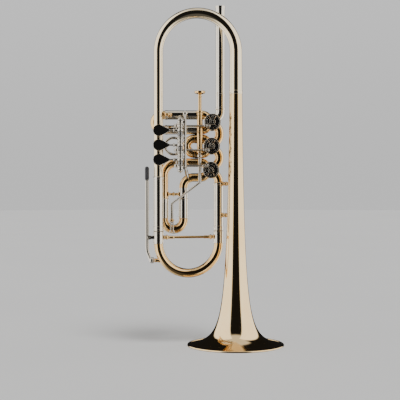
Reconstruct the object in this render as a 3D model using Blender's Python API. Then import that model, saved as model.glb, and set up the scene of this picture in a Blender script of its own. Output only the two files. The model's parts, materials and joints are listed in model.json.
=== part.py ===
"""A rotary-valve trumpet standing on its bell rim, as an assembly of separate, jointed pieces.

Lengths in this file are millimetres; place() turns them into metres. x is measured from the
bell's axis, y from the bell's middle plane and z up from the rim. +z runs along the bell to
the mouthpiece end, -y is the side with the finger levers. The whole tree hangs on one empty,
shifted along x so that the origin is the middle of the instrument's footprint.
"""

import math

import bmesh
import bpy
from mathutils import Matrix, Vector

MM = 0.001  # one millimetre, in metres
GAP = 0.3  # clearance between neighbouring pieces
X, Y, Z = Vector((1, 0, 0)), Vector((0, 1, 0)), Vector((0, 0, 1))

# Bell: the sheet's outer radius, a height h above the rim, is
# BELL_RADIUS * (1 + h / FLARE_DEPTH) ** -FLARE_POWER, and the rim's bead hangs RIM_DROP below it.
BELL_RADIUS = 66.5
FLARE_DEPTH = 5.0
FLARE_POWER = 0.48
BELL_TOP = 345.0
BELL_WALL = 0.9
RIM_BEAD = 2.4
RIM_DROP = 1.4

# Where the long tubes run.
LEFT_X = -106.0  # main tube and the left leg of the tuning slide
RIGHT_X = -23.4  # right leg of the tuning slide
PIPE_X = -21.1  # mouthpipe
VALVE_Y = 18.0  # plane of the mouthpipe, the valves and the valve slides
BOW_Z = 403.0  # centre of the top bow
RECEIVER_TOP = 468.0
SLEEVE_END = 157.3  # lower end of both tuning-slide sleeves
LEFT_SLEEVE_TOP = 232.0
RIGHT_SLEEVE_TOP = 224.0

# Tube radii, as (outer, bore).
MAIN_TUBE = (6.25, 5.6)
PIPE_TUBE = (6.3, 5.3)
SLEEVE = (6.8, 6.0)
SLIDE_LEG = (5.6, 5.1)
SLIDE_BOW = (6.15, 5.1)
VALVE_TUBE = (5.9, 5.2)
VALVE_SLEEVE = (6.3, 5.6)
VALVE_LEG = (5.2, 4.7)
FERRULE = (7.1, 6.5)

# Valves: three casings in a row, with their axes along y.
VALVE_1 = Vector((-31.9, VALVE_Y, 307.2))
VALVE_STEP = Vector((-1.05, 0, -33.0))
CASING_RADIUS = 11.3
CASING_BORE = 9.6
CASING_FRONT = 4.0
CASING_BACK = 32.0
ROTOR_RADIUS = 9.2
SHAFT_RADIUS = 2.2
PORT_RADIUS = 4.3
PLATE_FRONT = 1.2  # front face of a bearing plate
STOP_FRONT = -1.0  # front face of a stop arm
LEG_OFFSET = 10.3  # height of a slide leg above or below its valve's axis
PORT_BEND = 8.0  # bend radius of the short elbows at the casings
KNUCKLE_X = -22.3  # straight part of the knuckles between the valves

# Finger levers: the axle stands along z in front of the valves.
AXLE = Vector((-75.6, -27.0, 0))
AXLE_RADIUS = 1.6
LEVER_ZONE_TOP = 304.1
LEVER_ZONE = 19.7
LEVER_REST = 10.0  # degrees a finger arm leans forward at rest
LEVER_TRAVEL = 30.0  # degrees a lever turns
ROTOR_TURN = 90.0  # degrees a rotor turns for that
CRANK = 8.2  # from a rotor's axis to its ball
ROD_TRAVEL = 2 * CRANK * math.sin(math.radians(ROTOR_TURN / 2))
LEVER_ARM = ROD_TRAVEL / 2 / math.sin(math.radians(LEVER_TRAVEL / 2))
ROD_Y = AXLE.y + LEVER_ARM * math.cos(math.radians(LEVER_TRAVEL / 2))
PADDLE_REACH = 29.3
PADDLE_RADIUS = 7.4
POST = Vector((-69.3, -24.0, 0))  # upright that carries the axle
POST_TOP = 317.5
THUMB_RING = Vector((-85.3, 2.2, 274.0))
THUMB_RADIUS = 11.7

# Valve slides. A joint is where a crook meets its sleeves, and a reach is how deep its legs go in.
ELBOW_STUB = 2.0  # straight end of the elbows on casings 1 and 3
FIRST_CROOK_X = -101.9
FIRST_JOINT_X = -98.0
FIRST_REACH = 42.0
SECOND_CROOK_X = -57.3
SECOND_JOINT_X = -56.2
SECOND_REACH = 8.0
THIRD_LEFT_X = -99.5
THIRD_RIGHT_X = -72.5
THIRD_BENDS = (17.8, 13.7)  # bend radii of the left and right sleeves
THIRD_JOINT = 173.9
THIRD_REACH = 34.0
THIRD_CROOK_Z = 172.5  # centre of the third crook's bend

# The third slide's trigger: a plunger in its guide, with a wire and a blade down to the crook.
TRIGGER = Vector((-49.3, 7.0, 0))
GUIDE_TOP = 323.0
GUIDE_BOTTOM = 265.0
PLUNGER_TOP = 350.0
PLUNGER_BOTTOM = 224.7
SPRING_BOTTOM = 268.6
SPRING_HEIGHT = 31.5
BLADE = Vector((-86.9, 9.6, 0))
BLADE_TOP = 195.9
BLADE_BOTTOM = 171.6
PRONG_KNEE = 158.0
PRONG_FOOT = 154.6

# Tuning slide and water key.
TUNING_REACH = 60.0
TUNING_BOW_Z = 141.0  # centre of the tuning bow's bend
BRACE_Z = 148.6
FERRULE_END = 139.5
KEY_X = -121.9
KEY_HINGE = Vector((-118.3, 0, BRACE_Z))
KEY_TOP = 246.0
NIPPLE = Vector((-111.5, 1.0, 117.0))

LEFT_REACH = 124.7  # outermost point of the water key
ORIGIN_SHIFT = (LEFT_REACH - BELL_RADIUS) / 2


# ---------------------------------------------------------------- shapes


class Route:
    """A tube walked in one plane: it keeps a place and a heading, and notes a station per ring."""

    def __init__(self, place, heading, normal, size):
        self.place = Vector(place)
        self.heading = Vector(heading).normalized()
        self.normal = Vector(normal).normalized()
        self.size = size
        self.stations = []
        self.mark()

    def mark(self):
        self.stations.append((self.place.copy(), self.heading.copy(), self.normal, *self.size))

    def go(self, length, size=None):
        """Runs straight, reaching the given (outer, bore) radii at the end."""
        self.place = self.place + self.heading * length
        self.size = size or self.size
        self.mark()
        return self

    def turn(self, degrees, radius, size=None, step=30):
        """Bends by the angle about the normal, right-handed, changing the radii evenly."""
        count = max(2, round(abs(degrees) / step))
        spin = Matrix.Rotation(math.radians(degrees / count), 3, self.normal)
        inward = self.normal.cross(self.heading) * math.copysign(radius, degrees)
        centre = self.place + inward
        start, end = self.size, size or self.size
        for k in range(1, count + 1):
            self.place = centre + spin @ (self.place - centre)
            self.heading = spin @ self.heading
            self.size = tuple(a + (b - a) * k / count for a, b in zip(start, end))
            self.mark()
        return self


def backwards(route):
    """A route's stations walked the other way, without its first one."""
    return [(place, -heading, *rest) for place, heading, *rest in route.stations[:0:-1]]


def swept(stations, sides=10, closed=False):
    """A tube, or a rod where the bore is 0, through stations (place, heading, normal, outer, bore)."""
    shape = bmesh.new()
    rings = []
    for place, heading, normal, outer, bore in stations:
        across = heading.cross(normal).normalized()
        ring = []
        for radius in (outer, bore) if bore else (outer,):
            spots = (2 * math.pi * k / sides for k in range(sides))
            ring.append([shape.verts.new(place + (normal * math.cos(a) + across * math.sin(a)) * radius)
                         for a in spots])
        rings.append(ring)
    pairs = list(zip(rings, rings[1:] + rings[:1])) if closed else list(zip(rings, rings[1:]))
    for ring, following in pairs:
        for loop, next_loop in zip(ring, following):
            skin(shape, loop, next_loop)
    if not closed:
        for ring in (rings[0], rings[-1]):
            if len(ring) == 2:
                skin(shape, ring[0], ring[1])
            else:
                shape.faces.new(ring[0])
    bmesh.ops.recalc_face_normals(shape, faces=shape.faces)
    return shape


def skin(shape, loop, next_loop):
    """Quads between two rings of equal length."""
    for k in range(len(loop)):
        shape.faces.new((loop[k - 1], loop[k], next_loop[k], next_loop[k - 1]))


def rod(start, end, radius, sides=8, end_radius=None):
    start, end = Vector(start), Vector(end)
    heading = (end - start).normalized()
    normal = (Y if abs(heading.y) < 0.9 else X)
    normal = (normal - heading * normal.dot(heading)).normalized()
    last = radius if end_radius is None else end_radius
    return swept([(start, heading, normal, radius, 0), (end, heading, normal, last, 0)], sides)


def ring(centre, normal, radius, wire, steps=18, sides=6):
    """A torus of the given wire radius."""
    normal = Vector(normal).normalized()
    start = normal.orthogonal().normalized()
    stations = []
    for k in range(steps):
        out = Matrix.Rotation(2 * math.pi * k / steps, 3, normal) @ start
        stations.append((Vector(centre) + out * radius, normal.cross(out), normal, wire, 0))
    return swept(stations, sides, closed=True)


def coil(centre, radius, wire, turns, height, axis=Z, sides=4, per_turn=9):
    """A helical spring, standing up from its centre along the axis."""
    start = axis.orthogonal().normalized()
    stations = []
    for k in range(round(turns * per_turn) + 1):
        angle = 2 * math.pi * k / per_turn
        out = Matrix.Rotation(angle, 3, axis) @ start
        rise = height / (turns * 2 * math.pi)
        heading = (axis.cross(out) * radius + axis * rise).normalized()
        stations.append((Vector(centre) + out * radius + axis * rise * angle, heading, out, wire, 0))
    return swept(stations, sides)


def turned(profile, place=(0, 0, 0), axis=Z, steps=20, hollow=False):
    """A lathe piece. The profile is (radius, height) points; a hollow one closes on itself."""
    shape = bmesh.new()
    points = [shape.verts.new((radius, 0, height)) for radius, height in profile]
    edges = [shape.edges.new(pair) for pair in zip(points, points[1:])]
    if hollow:
        edges.append(shape.edges.new((points[-1], points[0])))
    bmesh.ops.spin(shape, geom=points + edges, axis=Z, cent=(0, 0, 0), angle=2 * math.pi,
                   steps=steps, use_merge=True)
    bmesh.ops.remove_doubles(shape, verts=shape.verts, dist=1e-4)
    bmesh.ops.recalc_face_normals(shape, faces=shape.faces)
    turn = Vector(axis).to_track_quat("Z", "Y").to_matrix().to_4x4()
    shape.transform(Matrix.Translation(Vector(place)) @ turn)
    return shape


def cylinder(place, axis, radius, low, high, steps=20):
    return turned([(0, low), (radius, low), (radius, high), (0, high)], place, axis, steps)


def block(low, high):
    """A box between two opposite corners."""
    low, high = Vector(low), Vector(high)
    shape = bmesh.new()
    bmesh.ops.create_cube(shape, size=1)
    shape.transform(Matrix.Translation((low + high) / 2) @ Matrix.Diagonal((*(high - low), 1)))
    return shape


def slab(outline, y_low, y_high):
    """A flat plate: an outline of (x, z) points, thick from y_low to y_high."""
    shape = bmesh.new()
    face = shape.faces.new([shape.verts.new((x, y_low, z)) for x, z in outline])
    side = bmesh.ops.extrude_face_region(shape, geom=[face])
    moved = [item for item in side["geom"] if isinstance(item, bmesh.types.BMVert)]
    bmesh.ops.translate(shape, verts=moved, vec=(0, y_high - y_low, 0))
    bmesh.ops.recalc_face_normals(shape, faces=shape.faces)
    return shape


def holder(shape):
    """A passing object for a Boolean."""
    mesh = bpy.data.meshes.new("working_shape")
    shape.to_mesh(mesh)
    shape.free()
    thing = bpy.data.objects.new("working_shape", mesh)
    bpy.context.scene.collection.objects.link(thing)
    return thing


def boolean(operation, first, others, solver="EXACT"):
    """The first shape with each of the others united with it, or cut from it."""
    for other in others:
        base, tool = holder(first), holder(other)
        modifier = base.modifiers.new("combine", "BOOLEAN")
        modifier.operation = operation
        modifier.solver = solver
        modifier.object = tool
        bpy.context.view_layer.update()
        graph = bpy.context.evaluated_depsgraph_get()
        mesh = bpy.data.meshes.new_from_object(base.evaluated_get(graph))
        first = bmesh.new()
        first.from_mesh(mesh)
        bpy.data.meshes.remove(mesh)
        for thing in (base, tool):
            mesh = thing.data
            bpy.data.objects.remove(thing)
            bpy.data.meshes.remove(mesh)
    return first


def union(first, *others):
    return boolean("UNION", first, others)


def cut(first, *others, solver="EXACT"):
    return boolean("DIFFERENCE", first, others, solver)


# ---------------------------------------------------------------- scene tree

METALS = {
    "champagne_brass": ((0.62, 0.50, 0.34), 0.14),
    "gold_brass": ((0.68, 0.46, 0.22), 0.18),
    "nickel_silver": ((0.60, 0.58, 0.52), 0.16),
    "silver": ((0.72, 0.72, 0.70), 0.10),
    "steel": ((0.30, 0.30, 0.31), 0.30),
}
SOFT = {"cork": (0.45, 0.29, 0.15), "rubber": (0.03, 0.03, 0.035)}


def material(name):
    """The shared Principled material of this name, made on first use."""
    if name in bpy.data.materials:
        return bpy.data.materials[name]
    made = bpy.data.materials.new(name)
    made.use_nodes = True
    shader = made.node_tree.nodes["Principled BSDF"]
    colour, roughness = METALS.get(name) or (SOFT[name], 0.7)
    shader.inputs["Base Color"].default_value = (*colour, 1)
    shader.inputs["Roughness"].default_value = roughness
    shader.inputs["Metallic"].default_value = float(name in METALS)
    made.diffuse_color = (*colour, 1)
    return made


def body(name, pivot=(0, 0, 0), parent=None):
    """An empty on a moving body's joint; its pieces and its child bodies hang on it."""
    empty = bpy.data.objects.new("body_" + name, None)
    bpy.context.scene.collection.objects.link(empty)
    empty["pivot"] = tuple(pivot)
    base = Vector(parent["pivot"]) if parent else Vector((-ORIGIN_SHIFT, 0, 0))
    empty.parent = parent
    empty.location = (Vector(pivot) - base) * MM
    return empty


def place(name, shape, finish, owner):
    """Stores a shape as an object of its own, with its origin on its body's joint."""
    shape.transform(Matrix.Scale(MM, 4) @ Matrix.Translation(-Vector(owner["pivot"])))
    mesh = bpy.data.meshes.new(name)
    shape.to_mesh(mesh)
    shape.free()
    mesh.materials.append(material(finish))
    mesh.shade_smooth()
    mesh.set_sharp_from_angle(angle=math.radians(35))
    piece = bpy.data.objects.new(name, mesh)
    bpy.context.scene.collection.objects.link(piece)
    piece.parent = owner
    return piece


# ---------------------------------------------------------------- bell, bow and main tubes


def bell_radius(z):
    return BELL_RADIUS * (1 + (z - RIM_DROP) / FLARE_DEPTH) ** -FLARE_POWER


def bell_slope(z):
    """How fast the outer radius changes with height."""
    return -FLARE_POWER * bell_radius(z) / (FLARE_DEPTH + z - RIM_DROP)


def flare_heights(count=9):
    """Heights up the bell from the rim's bead, closest together where it flares fastest."""
    edge = BELL_RADIUS - RIM_BEAD + 0.2
    low = RIM_DROP + FLARE_DEPTH * ((edge / BELL_RADIUS) ** (-1 / FLARE_POWER) - 1)
    return [low + (BELL_TOP - low) * (k / count) ** 2.7 for k in range(count + 1)]


def make_bell(horn):
    outside, inside = [], []
    for z in flare_heights():
        slope = bell_slope(z)
        square = BELL_WALL / math.hypot(1, slope)
        outside.append((bell_radius(z), z))
        inside.append((bell_radius(z) - square, z + slope * square))
    inside[-1] = (inside[-1][0], BELL_TOP)
    inner, outer = BELL_RADIUS - RIM_BEAD, BELL_RADIUS
    bead = [(inner, 0), (outer - 0.6, 0), (outer, 0.8), (outer, RIM_BEAD - 0.8), (outer - 0.6, RIM_BEAD),
            (inner + 0.6, RIM_BEAD)]
    place("bell", turned(bead + outside + inside[::-1], steps=28, hollow=True), "champagne_brass", horn)


def make_bow(horn):
    top = bell_radius(BELL_TOP)
    radius = -LEFT_X / 2
    route = Route((0, 0, BELL_TOP + GAP), Z, Y, (top, top - 0.8))
    route.go(BOW_Z - BELL_TOP - GAP, (top - 0.4, top - 1.2))
    route.turn(-180, radius, MAIN_TUBE, step=18)
    place("bell_bow", swept(route.stations, 12), "champagne_brass", horn)


def make_main_tube(horn):
    tube = Route((LEFT_X, 0, BOW_Z - GAP), -Z, Y, MAIN_TUBE).go(BOW_Z - 2 * GAP - LEFT_SLEEVE_TOP)
    place("main_tube", swept(tube.stations, 14), "champagne_brass", horn)
    for name, x, y, top in (("tuning_sleeve_left", LEFT_X, 0, LEFT_SLEEVE_TOP),
                            ("tuning_sleeve_right", RIGHT_X, VALVE_Y, RIGHT_SLEEVE_TOP)):
        tube = Route((x, y, top), -Z, Y, (SLEEVE[0] + 0.5, SLEEVE[1])).go(3).go(0.5, SLEEVE)
        tube.go(top - SLEEVE_END - 3.5)
        place(name, swept(tube.stations, 12), "nickel_silver", horn)


def make_mouthpipe(horn):
    start, drop = VALVE_1 + port_offset(PIPE_X - VALVE_1.x, 1, 10), 440.0
    route = Route((PIPE_X, VALVE_Y, drop), -Z, Y, PIPE_TUBE)
    route.go(drop - start.z).turn(45, 10).go(3)
    pipe = cut(swept(route.stations, 12), casing_envelope(VALVE_1))
    place("mouthpipe", pipe, "nickel_silver", horn)
    low, top = drop + GAP, RECEIVER_TOP
    profile = [(5.4, low), (6.9, low), (6.9, low + 3), (6.6, low + 4), (6.6, top - 4), (7.1, top - 3),
               (7.1, top), (5.5, top), (5.0, low + 6)]
    place("mouthpiece_receiver", turned(profile, (PIPE_X, VALVE_Y, 0), steps=14, hollow=True),
          "nickel_silver", horn)


# ---------------------------------------------------------------- valves


def valve(number):
    """Centre of valve 1, 2 or 3, in the slides' plane."""
    return VALVE_1 + VALVE_STEP * (number - 1)


def port_offset(reach, up, bend):
    """From a valve's centre to where an elbow, bent by 45 degrees, becomes straight along z.

    reach is how far off the axis the straight part runs, and up is 1 above the valve or -1."""
    along = reach - bend * (1 - math.cos(math.radians(45)))
    return Vector((reach, 0, up * (along + bend * math.sin(math.radians(45)))))


def casing_envelope(centre):
    """The cylinder that a tube's end keeps clear of."""
    return cylinder((centre.x, 0, centre.z), Y, CASING_RADIUS + GAP, CASING_FRONT - 5, CASING_BACK + 5)


def slide_elbow(centre, up, size, inset, length):
    """A tube from inset outside the valve's axis, out along a 45 degree port and on along -x."""
    out = Vector((-1, 0, up)).normalized()
    bend_at = (LEG_OFFSET - PORT_BEND * (1 - math.cos(math.radians(45)))) / math.sin(math.radians(45))
    route = Route(centre + out * inset, out, Y, size)
    return route.go(bend_at - inset).turn(-45 * up, PORT_BEND).go(length)


def elbow_end():
    """How far left of the valve's axis an elbow's bend ends."""
    return LEG_OFFSET - PORT_BEND * (1 - math.cos(math.radians(45))) + PORT_BEND * math.sin(math.radians(45))


def make_casing(number, stub, stub_size, horn):
    """A casing with its two slide-side elbows, and its four ports."""
    centre = valve(number)
    at = Vector((centre.x, 0, centre.z))
    shell = cylinder(at, Y, CASING_RADIUS, CASING_FRONT, CASING_BACK)
    elbows, holes = [], []
    for up in (1, -1):
        elbows.append(swept(slide_elbow(centre, up, (stub_size[0], 0), 9.2, stub).stations))
        bore = slide_elbow(centre, up, (PORT_RADIUS, 0), 6.5, 0.8)
        holes.append(swept(bore.go(0.5, (stub_size[1], 0)).go(stub).stations))
        out = Vector((1, 0, up)).normalized()
        holes.append(rod(centre + out * 6.5, centre + out * (CASING_RADIUS + 3), PORT_RADIUS))
    chamber = cylinder(at, Y, CASING_BORE, CASING_FRONT - 1, CASING_BACK + 1)
    casing = cut(union(shell, *elbows), chamber, *holes, solver="MANIFOLD")
    place(f"valve_casing_{number}", casing, "nickel_silver", horn)


def make_caps(number, horn):
    """The front bearing plate with its cork stops, and the screwed rear cap."""
    centre = valve(number)
    at = Vector((centre.x, 0, centre.z))
    inner, outer = SHAFT_RADIUS + GAP, CASING_RADIUS
    plate = turned([(inner, PLATE_FRONT), (outer - 0.6, PLATE_FRONT), (outer, PLATE_FRONT + 0.6),
                    (outer, CASING_FRONT - GAP), (inner, CASING_FRONT - GAP)], at, Y, hollow=True)
    up = -1 if number == 3 else 1
    arc = [math.radians(a) for a in (54, 66, 78, 90, 102, 114, 126)]
    rim = [(at.x + 8.8 * math.cos(a), at.z + up * 8.8 * math.sin(a)) for a in arc]
    rim += [(at.x + 5.2 * math.cos(a), at.z + up * 5.2 * math.sin(a)) for a in reversed(arc)]
    stop = slab(rim, STOP_FRONT - 0.4, PLATE_FRONT + 0.5)
    place(f"bearing_plate_{number}", union(plate, stop), "silver", horn)
    back = CASING_BACK + GAP
    cap = [(0, back), (outer, back), (outer, back + 2), (outer - 1, back + 3), (4, back + 3.4),
           (0, back + 3.4)]
    place(f"rear_cap_{number}", turned(cap, at, Y), "silver", horn)


def make_knuckles(horn):
    """The short bends on the bell side: valve 1 to 2, 2 to 3, and 3 to the tuning slide."""
    for number in (1, 2):
        upper, lower = valve(number), valve(number + 1)
        top = upper + port_offset(KNUCKLE_X - upper.x, -1, PORT_BEND)
        bottom = lower + port_offset(KNUCKLE_X - lower.x, 1, PORT_BEND)
        route = Route(top, -Z, Y, VALVE_TUBE).go(top.z - bottom.z).turn(45, PORT_BEND).go(4)
        back = Route(top, Z, Y, VALVE_TUBE).turn(-45, PORT_BEND).go(4)
        tube = swept(backwards(back) + route.stations)
        tube = cut(tube, casing_envelope(upper), casing_envelope(lower))
        place(f"knuckle_{number}_{number + 1}", tube, "gold_brass", horn)
    last = valve(3)
    top = last + port_offset(RIGHT_X - last.x, -1, PORT_BEND)
    back = Route(top, Z, Y, VALVE_TUBE).turn(-45, PORT_BEND).go(4)
    route = Route(top, -Z, Y, VALVE_TUBE).go(top.z - RIGHT_SLEEVE_TOP - GAP)
    place("knuckle_3_out", cut(swept(backwards(back) + route.stations), casing_envelope(last)),
          "gold_brass", horn)


def make_rotor(number, owner):
    """The turning cylinder, with a curved passage on each side and a shaft at each end."""
    centre = valve(number)
    at = Vector((centre.x, 0, centre.z))
    low, high = CASING_FRONT + 1.5, CASING_BACK - 1
    shaft, tip = SHAFT_RADIUS, STOP_FRONT
    profile = [(0, tip), (shaft - 0.8, tip), (shaft - 0.8, PLATE_FRONT), (shaft, PLATE_FRONT + 0.2),
               (shaft, low), (ROTOR_RADIUS, low), (ROTOR_RADIUS, high), (shaft, high),
               (shaft, CASING_BACK - 0.4), (0, CASING_BACK - 0.4)]
    core = turned(profile, at, Y, 16)
    passages = [ring(centre + X * side * ROTOR_RADIUS * 1.5, Y, ROTOR_RADIUS, 3.7, 12, 6)
                for side in (1, -1)]
    place(f"rotor_{number}", cut(core, *passages), "steel", owner)


def crank_angle(number):
    """Direction of the ball from the rotor's axis at rest, in degrees from +x towards +z."""
    return 135.0 if number == 3 else 225.0


def ball_spot(number):
    centre, angle = valve(number), math.radians(crank_angle(number))
    return Vector((centre.x + CRANK * math.cos(angle), ROD_Y, centre.z + CRANK * math.sin(angle)))


def make_stop_arm(number, owner):
    """A half disc on the rotor's shaft, whose edges meet the corks, with the pin for the rod."""
    centre, middle = valve(number), crank_angle(number)
    at = Vector((centre.x, 0, centre.z))
    edge = [math.radians(middle + a) for a in range(-88, 89, 16)]
    outline = [(at.x + 7.6 * math.cos(a), at.z + 7.6 * math.sin(a)) for a in edge]
    plate = slab(outline, STOP_FRONT - 0.5, PLATE_FRONT - GAP)
    hub = cylinder(at, Y, 4.2, STOP_FRONT - 1.6, PLATE_FRONT - GAP, 12)
    spot = ball_spot(number)
    lobe = cylinder((spot.x, 0, spot.z), Y, 2.2, STOP_FRONT - 0.7, PLATE_FRONT - GAP - 0.1, 8)
    pin = cylinder((spot.x, 0, spot.z), Y, 0.9, ROD_Y - 3.4, STOP_FRONT, 6)
    head = cylinder((spot.x, 0, spot.z), Y, 1.6, ROD_Y - 4.2, ROD_Y - 3.1, 6)
    bore = cylinder(at, Y, SHAFT_RADIUS - 0.8 + 0.25, STOP_FRONT - 0.25, PLATE_FRONT, 8)
    place(f"stop_arm_{number}", cut(union(plate, hub, lobe, pin, head), bore), "silver", owner)


# ---------------------------------------------------------------- valve slides


def make_slide(name, number, crook_x, joint_x, reach, owner):
    """A slide drawn out along -x: two legs inside their sleeves, and the crook outside."""
    centre = valve(number)
    start = Vector((joint_x + reach, VALVE_Y, centre.z + LEG_OFFSET))
    route = Route(start, -X, Y, VALVE_LEG).go(reach - 0.1).go(0.5, (VALVE_TUBE[0], VALVE_LEG[1]))
    route.go(route.place.x - crook_x).turn(-180, LEG_OFFSET)
    route.go(joint_x - crook_x - 0.4).go(0.5, VALVE_LEG).go(reach - 0.1)
    place(name, swept(route.stations), "gold_brass", owner)


def make_first_sleeves(horn):
    centre = valve(1)
    start = centre.x - elbow_end() - ELBOW_STUB - GAP
    for name, up in (("first_sleeve_upper", 1), ("first_sleeve_lower", -1)):
        tube = Route((start, VALVE_Y, centre.z + up * LEG_OFFSET), -X, Y, VALVE_SLEEVE)
        tube.go(start - FIRST_JOINT_X - GAP)
        place(name, swept(tube.stations), "nickel_silver", horn)


def make_third_tubes(horn):
    """From valve 3 along -x, round a bend and down as the third slide's sleeves."""
    centre = valve(3)
    start = centre.x - elbow_end() - ELBOW_STUB - GAP
    for name, up, x, bend in (("third_sleeve_left", 1, THIRD_LEFT_X, THIRD_BENDS[0]),
                              ("third_sleeve_right", -1, THIRD_RIGHT_X, THIRD_BENDS[1])):
        route = Route((start, VALVE_Y, centre.z + up * LEG_OFFSET), -X, Y, VALVE_TUBE)
        route.go(start - x - bend).turn(-90, bend, step=18).go(1.5, SLEEVE)
        route.go(route.place.z - THIRD_JOINT - GAP / 2)
        place(name, swept(route.stations), "nickel_silver", horn)


def make_third_crook(owner):
    radius, joint = (THIRD_RIGHT_X - THIRD_LEFT_X) / 2, THIRD_JOINT - GAP
    straight = joint - THIRD_CROOK_Z
    route = Route((THIRD_LEFT_X, VALVE_Y, joint + THIRD_REACH), -Z, Y, SLIDE_LEG)
    route.go(THIRD_REACH - 0.5).go(0.5, SLIDE_BOW).go(straight).turn(-180, radius)
    route.go(straight).go(0.5, SLIDE_LEG).go(THIRD_REACH - 0.5)
    place("third_crook", swept(route.stations), "gold_brass", owner)


def make_third_brace(horn):
    low = THIRD_LEFT_X + SLEEVE[0] + GAP
    high = THIRD_RIGHT_X - SLEEVE[0] - GAP
    place("third_slide_brace", strut((low, VALVE_Y, 207.6), (high, VALVE_Y, 207.6), 2.0, 3.6),
          "gold_brass", horn)


def strut(start, end, thin, thick):
    """A turned brace with flared feet and a bead in the middle."""
    start, end = Vector(start), Vector(end)
    length = (end - start).length
    profile = [(0, 0), (thick, 0), (thick * 0.9, 0.6), (thin, 2), (thin, length / 2 - 1.6),
               (thick * 0.95, length / 2), (thin, length / 2 + 1.6), (thin, length - 2),
               (thick * 0.9, length - 0.6), (thick, length), (0, length)]
    return turned(profile, start, end - start, 8)


def make_trigger_guide(horn):
    low, high = GUIDE_BOTTOM, GUIDE_TOP
    profile = [(2.7, low), (3.9, low), (3.9, high - 3), (4.5, high - 2.4), (4.5, high), (2.7, high),
               (2.7, high - 3), (3.35, high - 4), (3.35, low + 3), (2.7, low + 2)]
    tube = turned(profile, TRIGGER, steps=12, hollow=True)
    arms = []
    for number, z in ((1, 313.0), (2, 279.8)):
        centre = valve(number)
        side = math.sqrt(CASING_RADIUS ** 2 - (z - centre.z) ** 2)
        arms.append(block((TRIGGER.x + 3.6, 5.6, z - 1.4), (centre.x - side - GAP * 2, 9.4, z + 1.4)))
    place("trigger_guide", union(tube, *arms), "gold_brass", horn)


def make_trigger_plunger(owner):
    """The push rod: a thumb disc, a shoulder over the spring, a thin neck inside it and a stop collar."""
    disc, shoulder, neck, collar = PLUNGER_TOP, 301.0, 267.0, 260.5
    profile = [(0, PLUNGER_BOTTOM), (2.3, PLUNGER_BOTTOM), (2.3, collar - 2.5), (3.4, collar - 1.5),
               (3.4, collar + 1.5), (2.3, collar + 2.5), (2.3, neck - 1), (1.6, neck), (1.6, shoulder),
               (3.0, shoulder + 0.5), (3.0, shoulder + 3), (2.3, shoulder + 4), (2.3, disc - 9),
               (1.7, disc - 7), (2.2, disc - 4.5), (6.6, disc - 3.4), (7.4, disc - 2), (7.3, disc),
               (6.4, disc), (0, disc - 1.2)]
    place("trigger_plunger", turned(profile, TRIGGER, steps=10), "silver", owner)


def make_trigger_spring(horn):
    """It stands on the guide's lower lip and pushes the plunger's shoulder up."""
    spring = coil(TRIGGER + Z * SPRING_BOTTOM, 2.6, 0.4, 5, SPRING_HEIGHT, per_turn=8)
    place("trigger_spring", spring, "steel", horn)


def make_trigger_arm(owner):
    """The knob and wire under the plunger, the blade, its cross fitting and the two prongs."""
    low = PLUNGER_BOTTOM - GAP
    elbow, collar = BLADE + Z * BLADE_TOP, BLADE + Z * BLADE_BOTTOM
    wire = rod(TRIGGER + Z * (low - 1.2), elbow, 1.2)
    knob = cylinder(TRIGGER, Z, 2.0, low - 2.6, low, 10)
    blade = slab([(elbow.x - 2.2, elbow.z + 1.5), (elbow.x + 2.2, elbow.z + 1.5),
                  (collar.x + 1.9, collar.z), (collar.x - 1.9, collar.z)], BLADE.y - 0.7, BLADE.y + 0.7)
    fitting = Vector((3.2, 1.3, 1.6))
    pieces = [knob, blade, block(collar - fitting, collar + fitting)]
    for side in (-1.6, 1.6):
        knee = BLADE + Vector((side, 0, PRONG_KNEE))
        foot = BLADE + Vector((side * 1.6, 1.6, PRONG_FOOT))
        pieces += [rod(collar + X * side, knee, 0.9), rod(knee + Z * 0.8, foot, 0.9, end_radius=1.7)]
    place("trigger_arm", union(wire, *pieces), "silver", owner)


# ---------------------------------------------------------------- finger levers


def lever_middle(number):
    return LEVER_ZONE_TOP - LEVER_ZONE * (number - 0.5)


def make_lever(number, owner):
    """A hinge barrel with a finger arm to the left and a short arm back to the rod's eye."""
    middle, half = lever_middle(number), LEVER_ZONE / 2 - GAP / 2
    spot = Vector((AXLE.x, AXLE.y, middle))
    bore, thin = AXLE_RADIUS + GAP, 2.8
    profile = [(bore, -half), (4.3, -half), (4.3, 1.4 - half), (thin, 1.6 - half), (thin, -1.6), (4.6, -1.2),
               (4.6, 1.2), (3.6, 1.6), (3.6, half - 1.6), (4.3, half - 1.4), (4.3, half), (bore, half)]
    barrel = turned(profile, spot, steps=10, hollow=True)
    lean = math.radians(LEVER_REST)
    out = Vector((-math.cos(lean), -math.sin(lean), 0))
    arm = rod(spot + out * 3, spot + out * 20, 1.25, 6)
    collar = rod(spot + out * 8.0, spot + out * 9.6, 2.3)
    paddle = make_paddle(spot, out)
    crank = rest_crank(number)
    back = (Vector((crank.x, crank.y, middle)) - spot).normalized()
    short = rod(spot + back * 3, Vector((crank.x, crank.y, middle)), 1.5, 6)
    up = 1 if number == 1 else -1
    far = crank.z + up * 3.2
    pin = cylinder((crank.x, crank.y, 0), Z, 0.8, min(middle, far), max(middle, far), 6)
    place(f"lever_{number}", union(barrel, arm, collar, paddle, short, pin), "silver", owner)
    spring = coil(spot + Z * (2.2 - half), 3.6, 0.4, 3, half - 4.4, per_turn=8)
    place(f"lever_spring_{number}", spring, "steel", owner)


def rest_crank(number):
    """Where the eye of a connecting rod hangs on its lever at rest."""
    return Vector((AXLE.x - ROD_TRAVEL / 2, ROD_Y, ball_spot(number).z))


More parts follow.
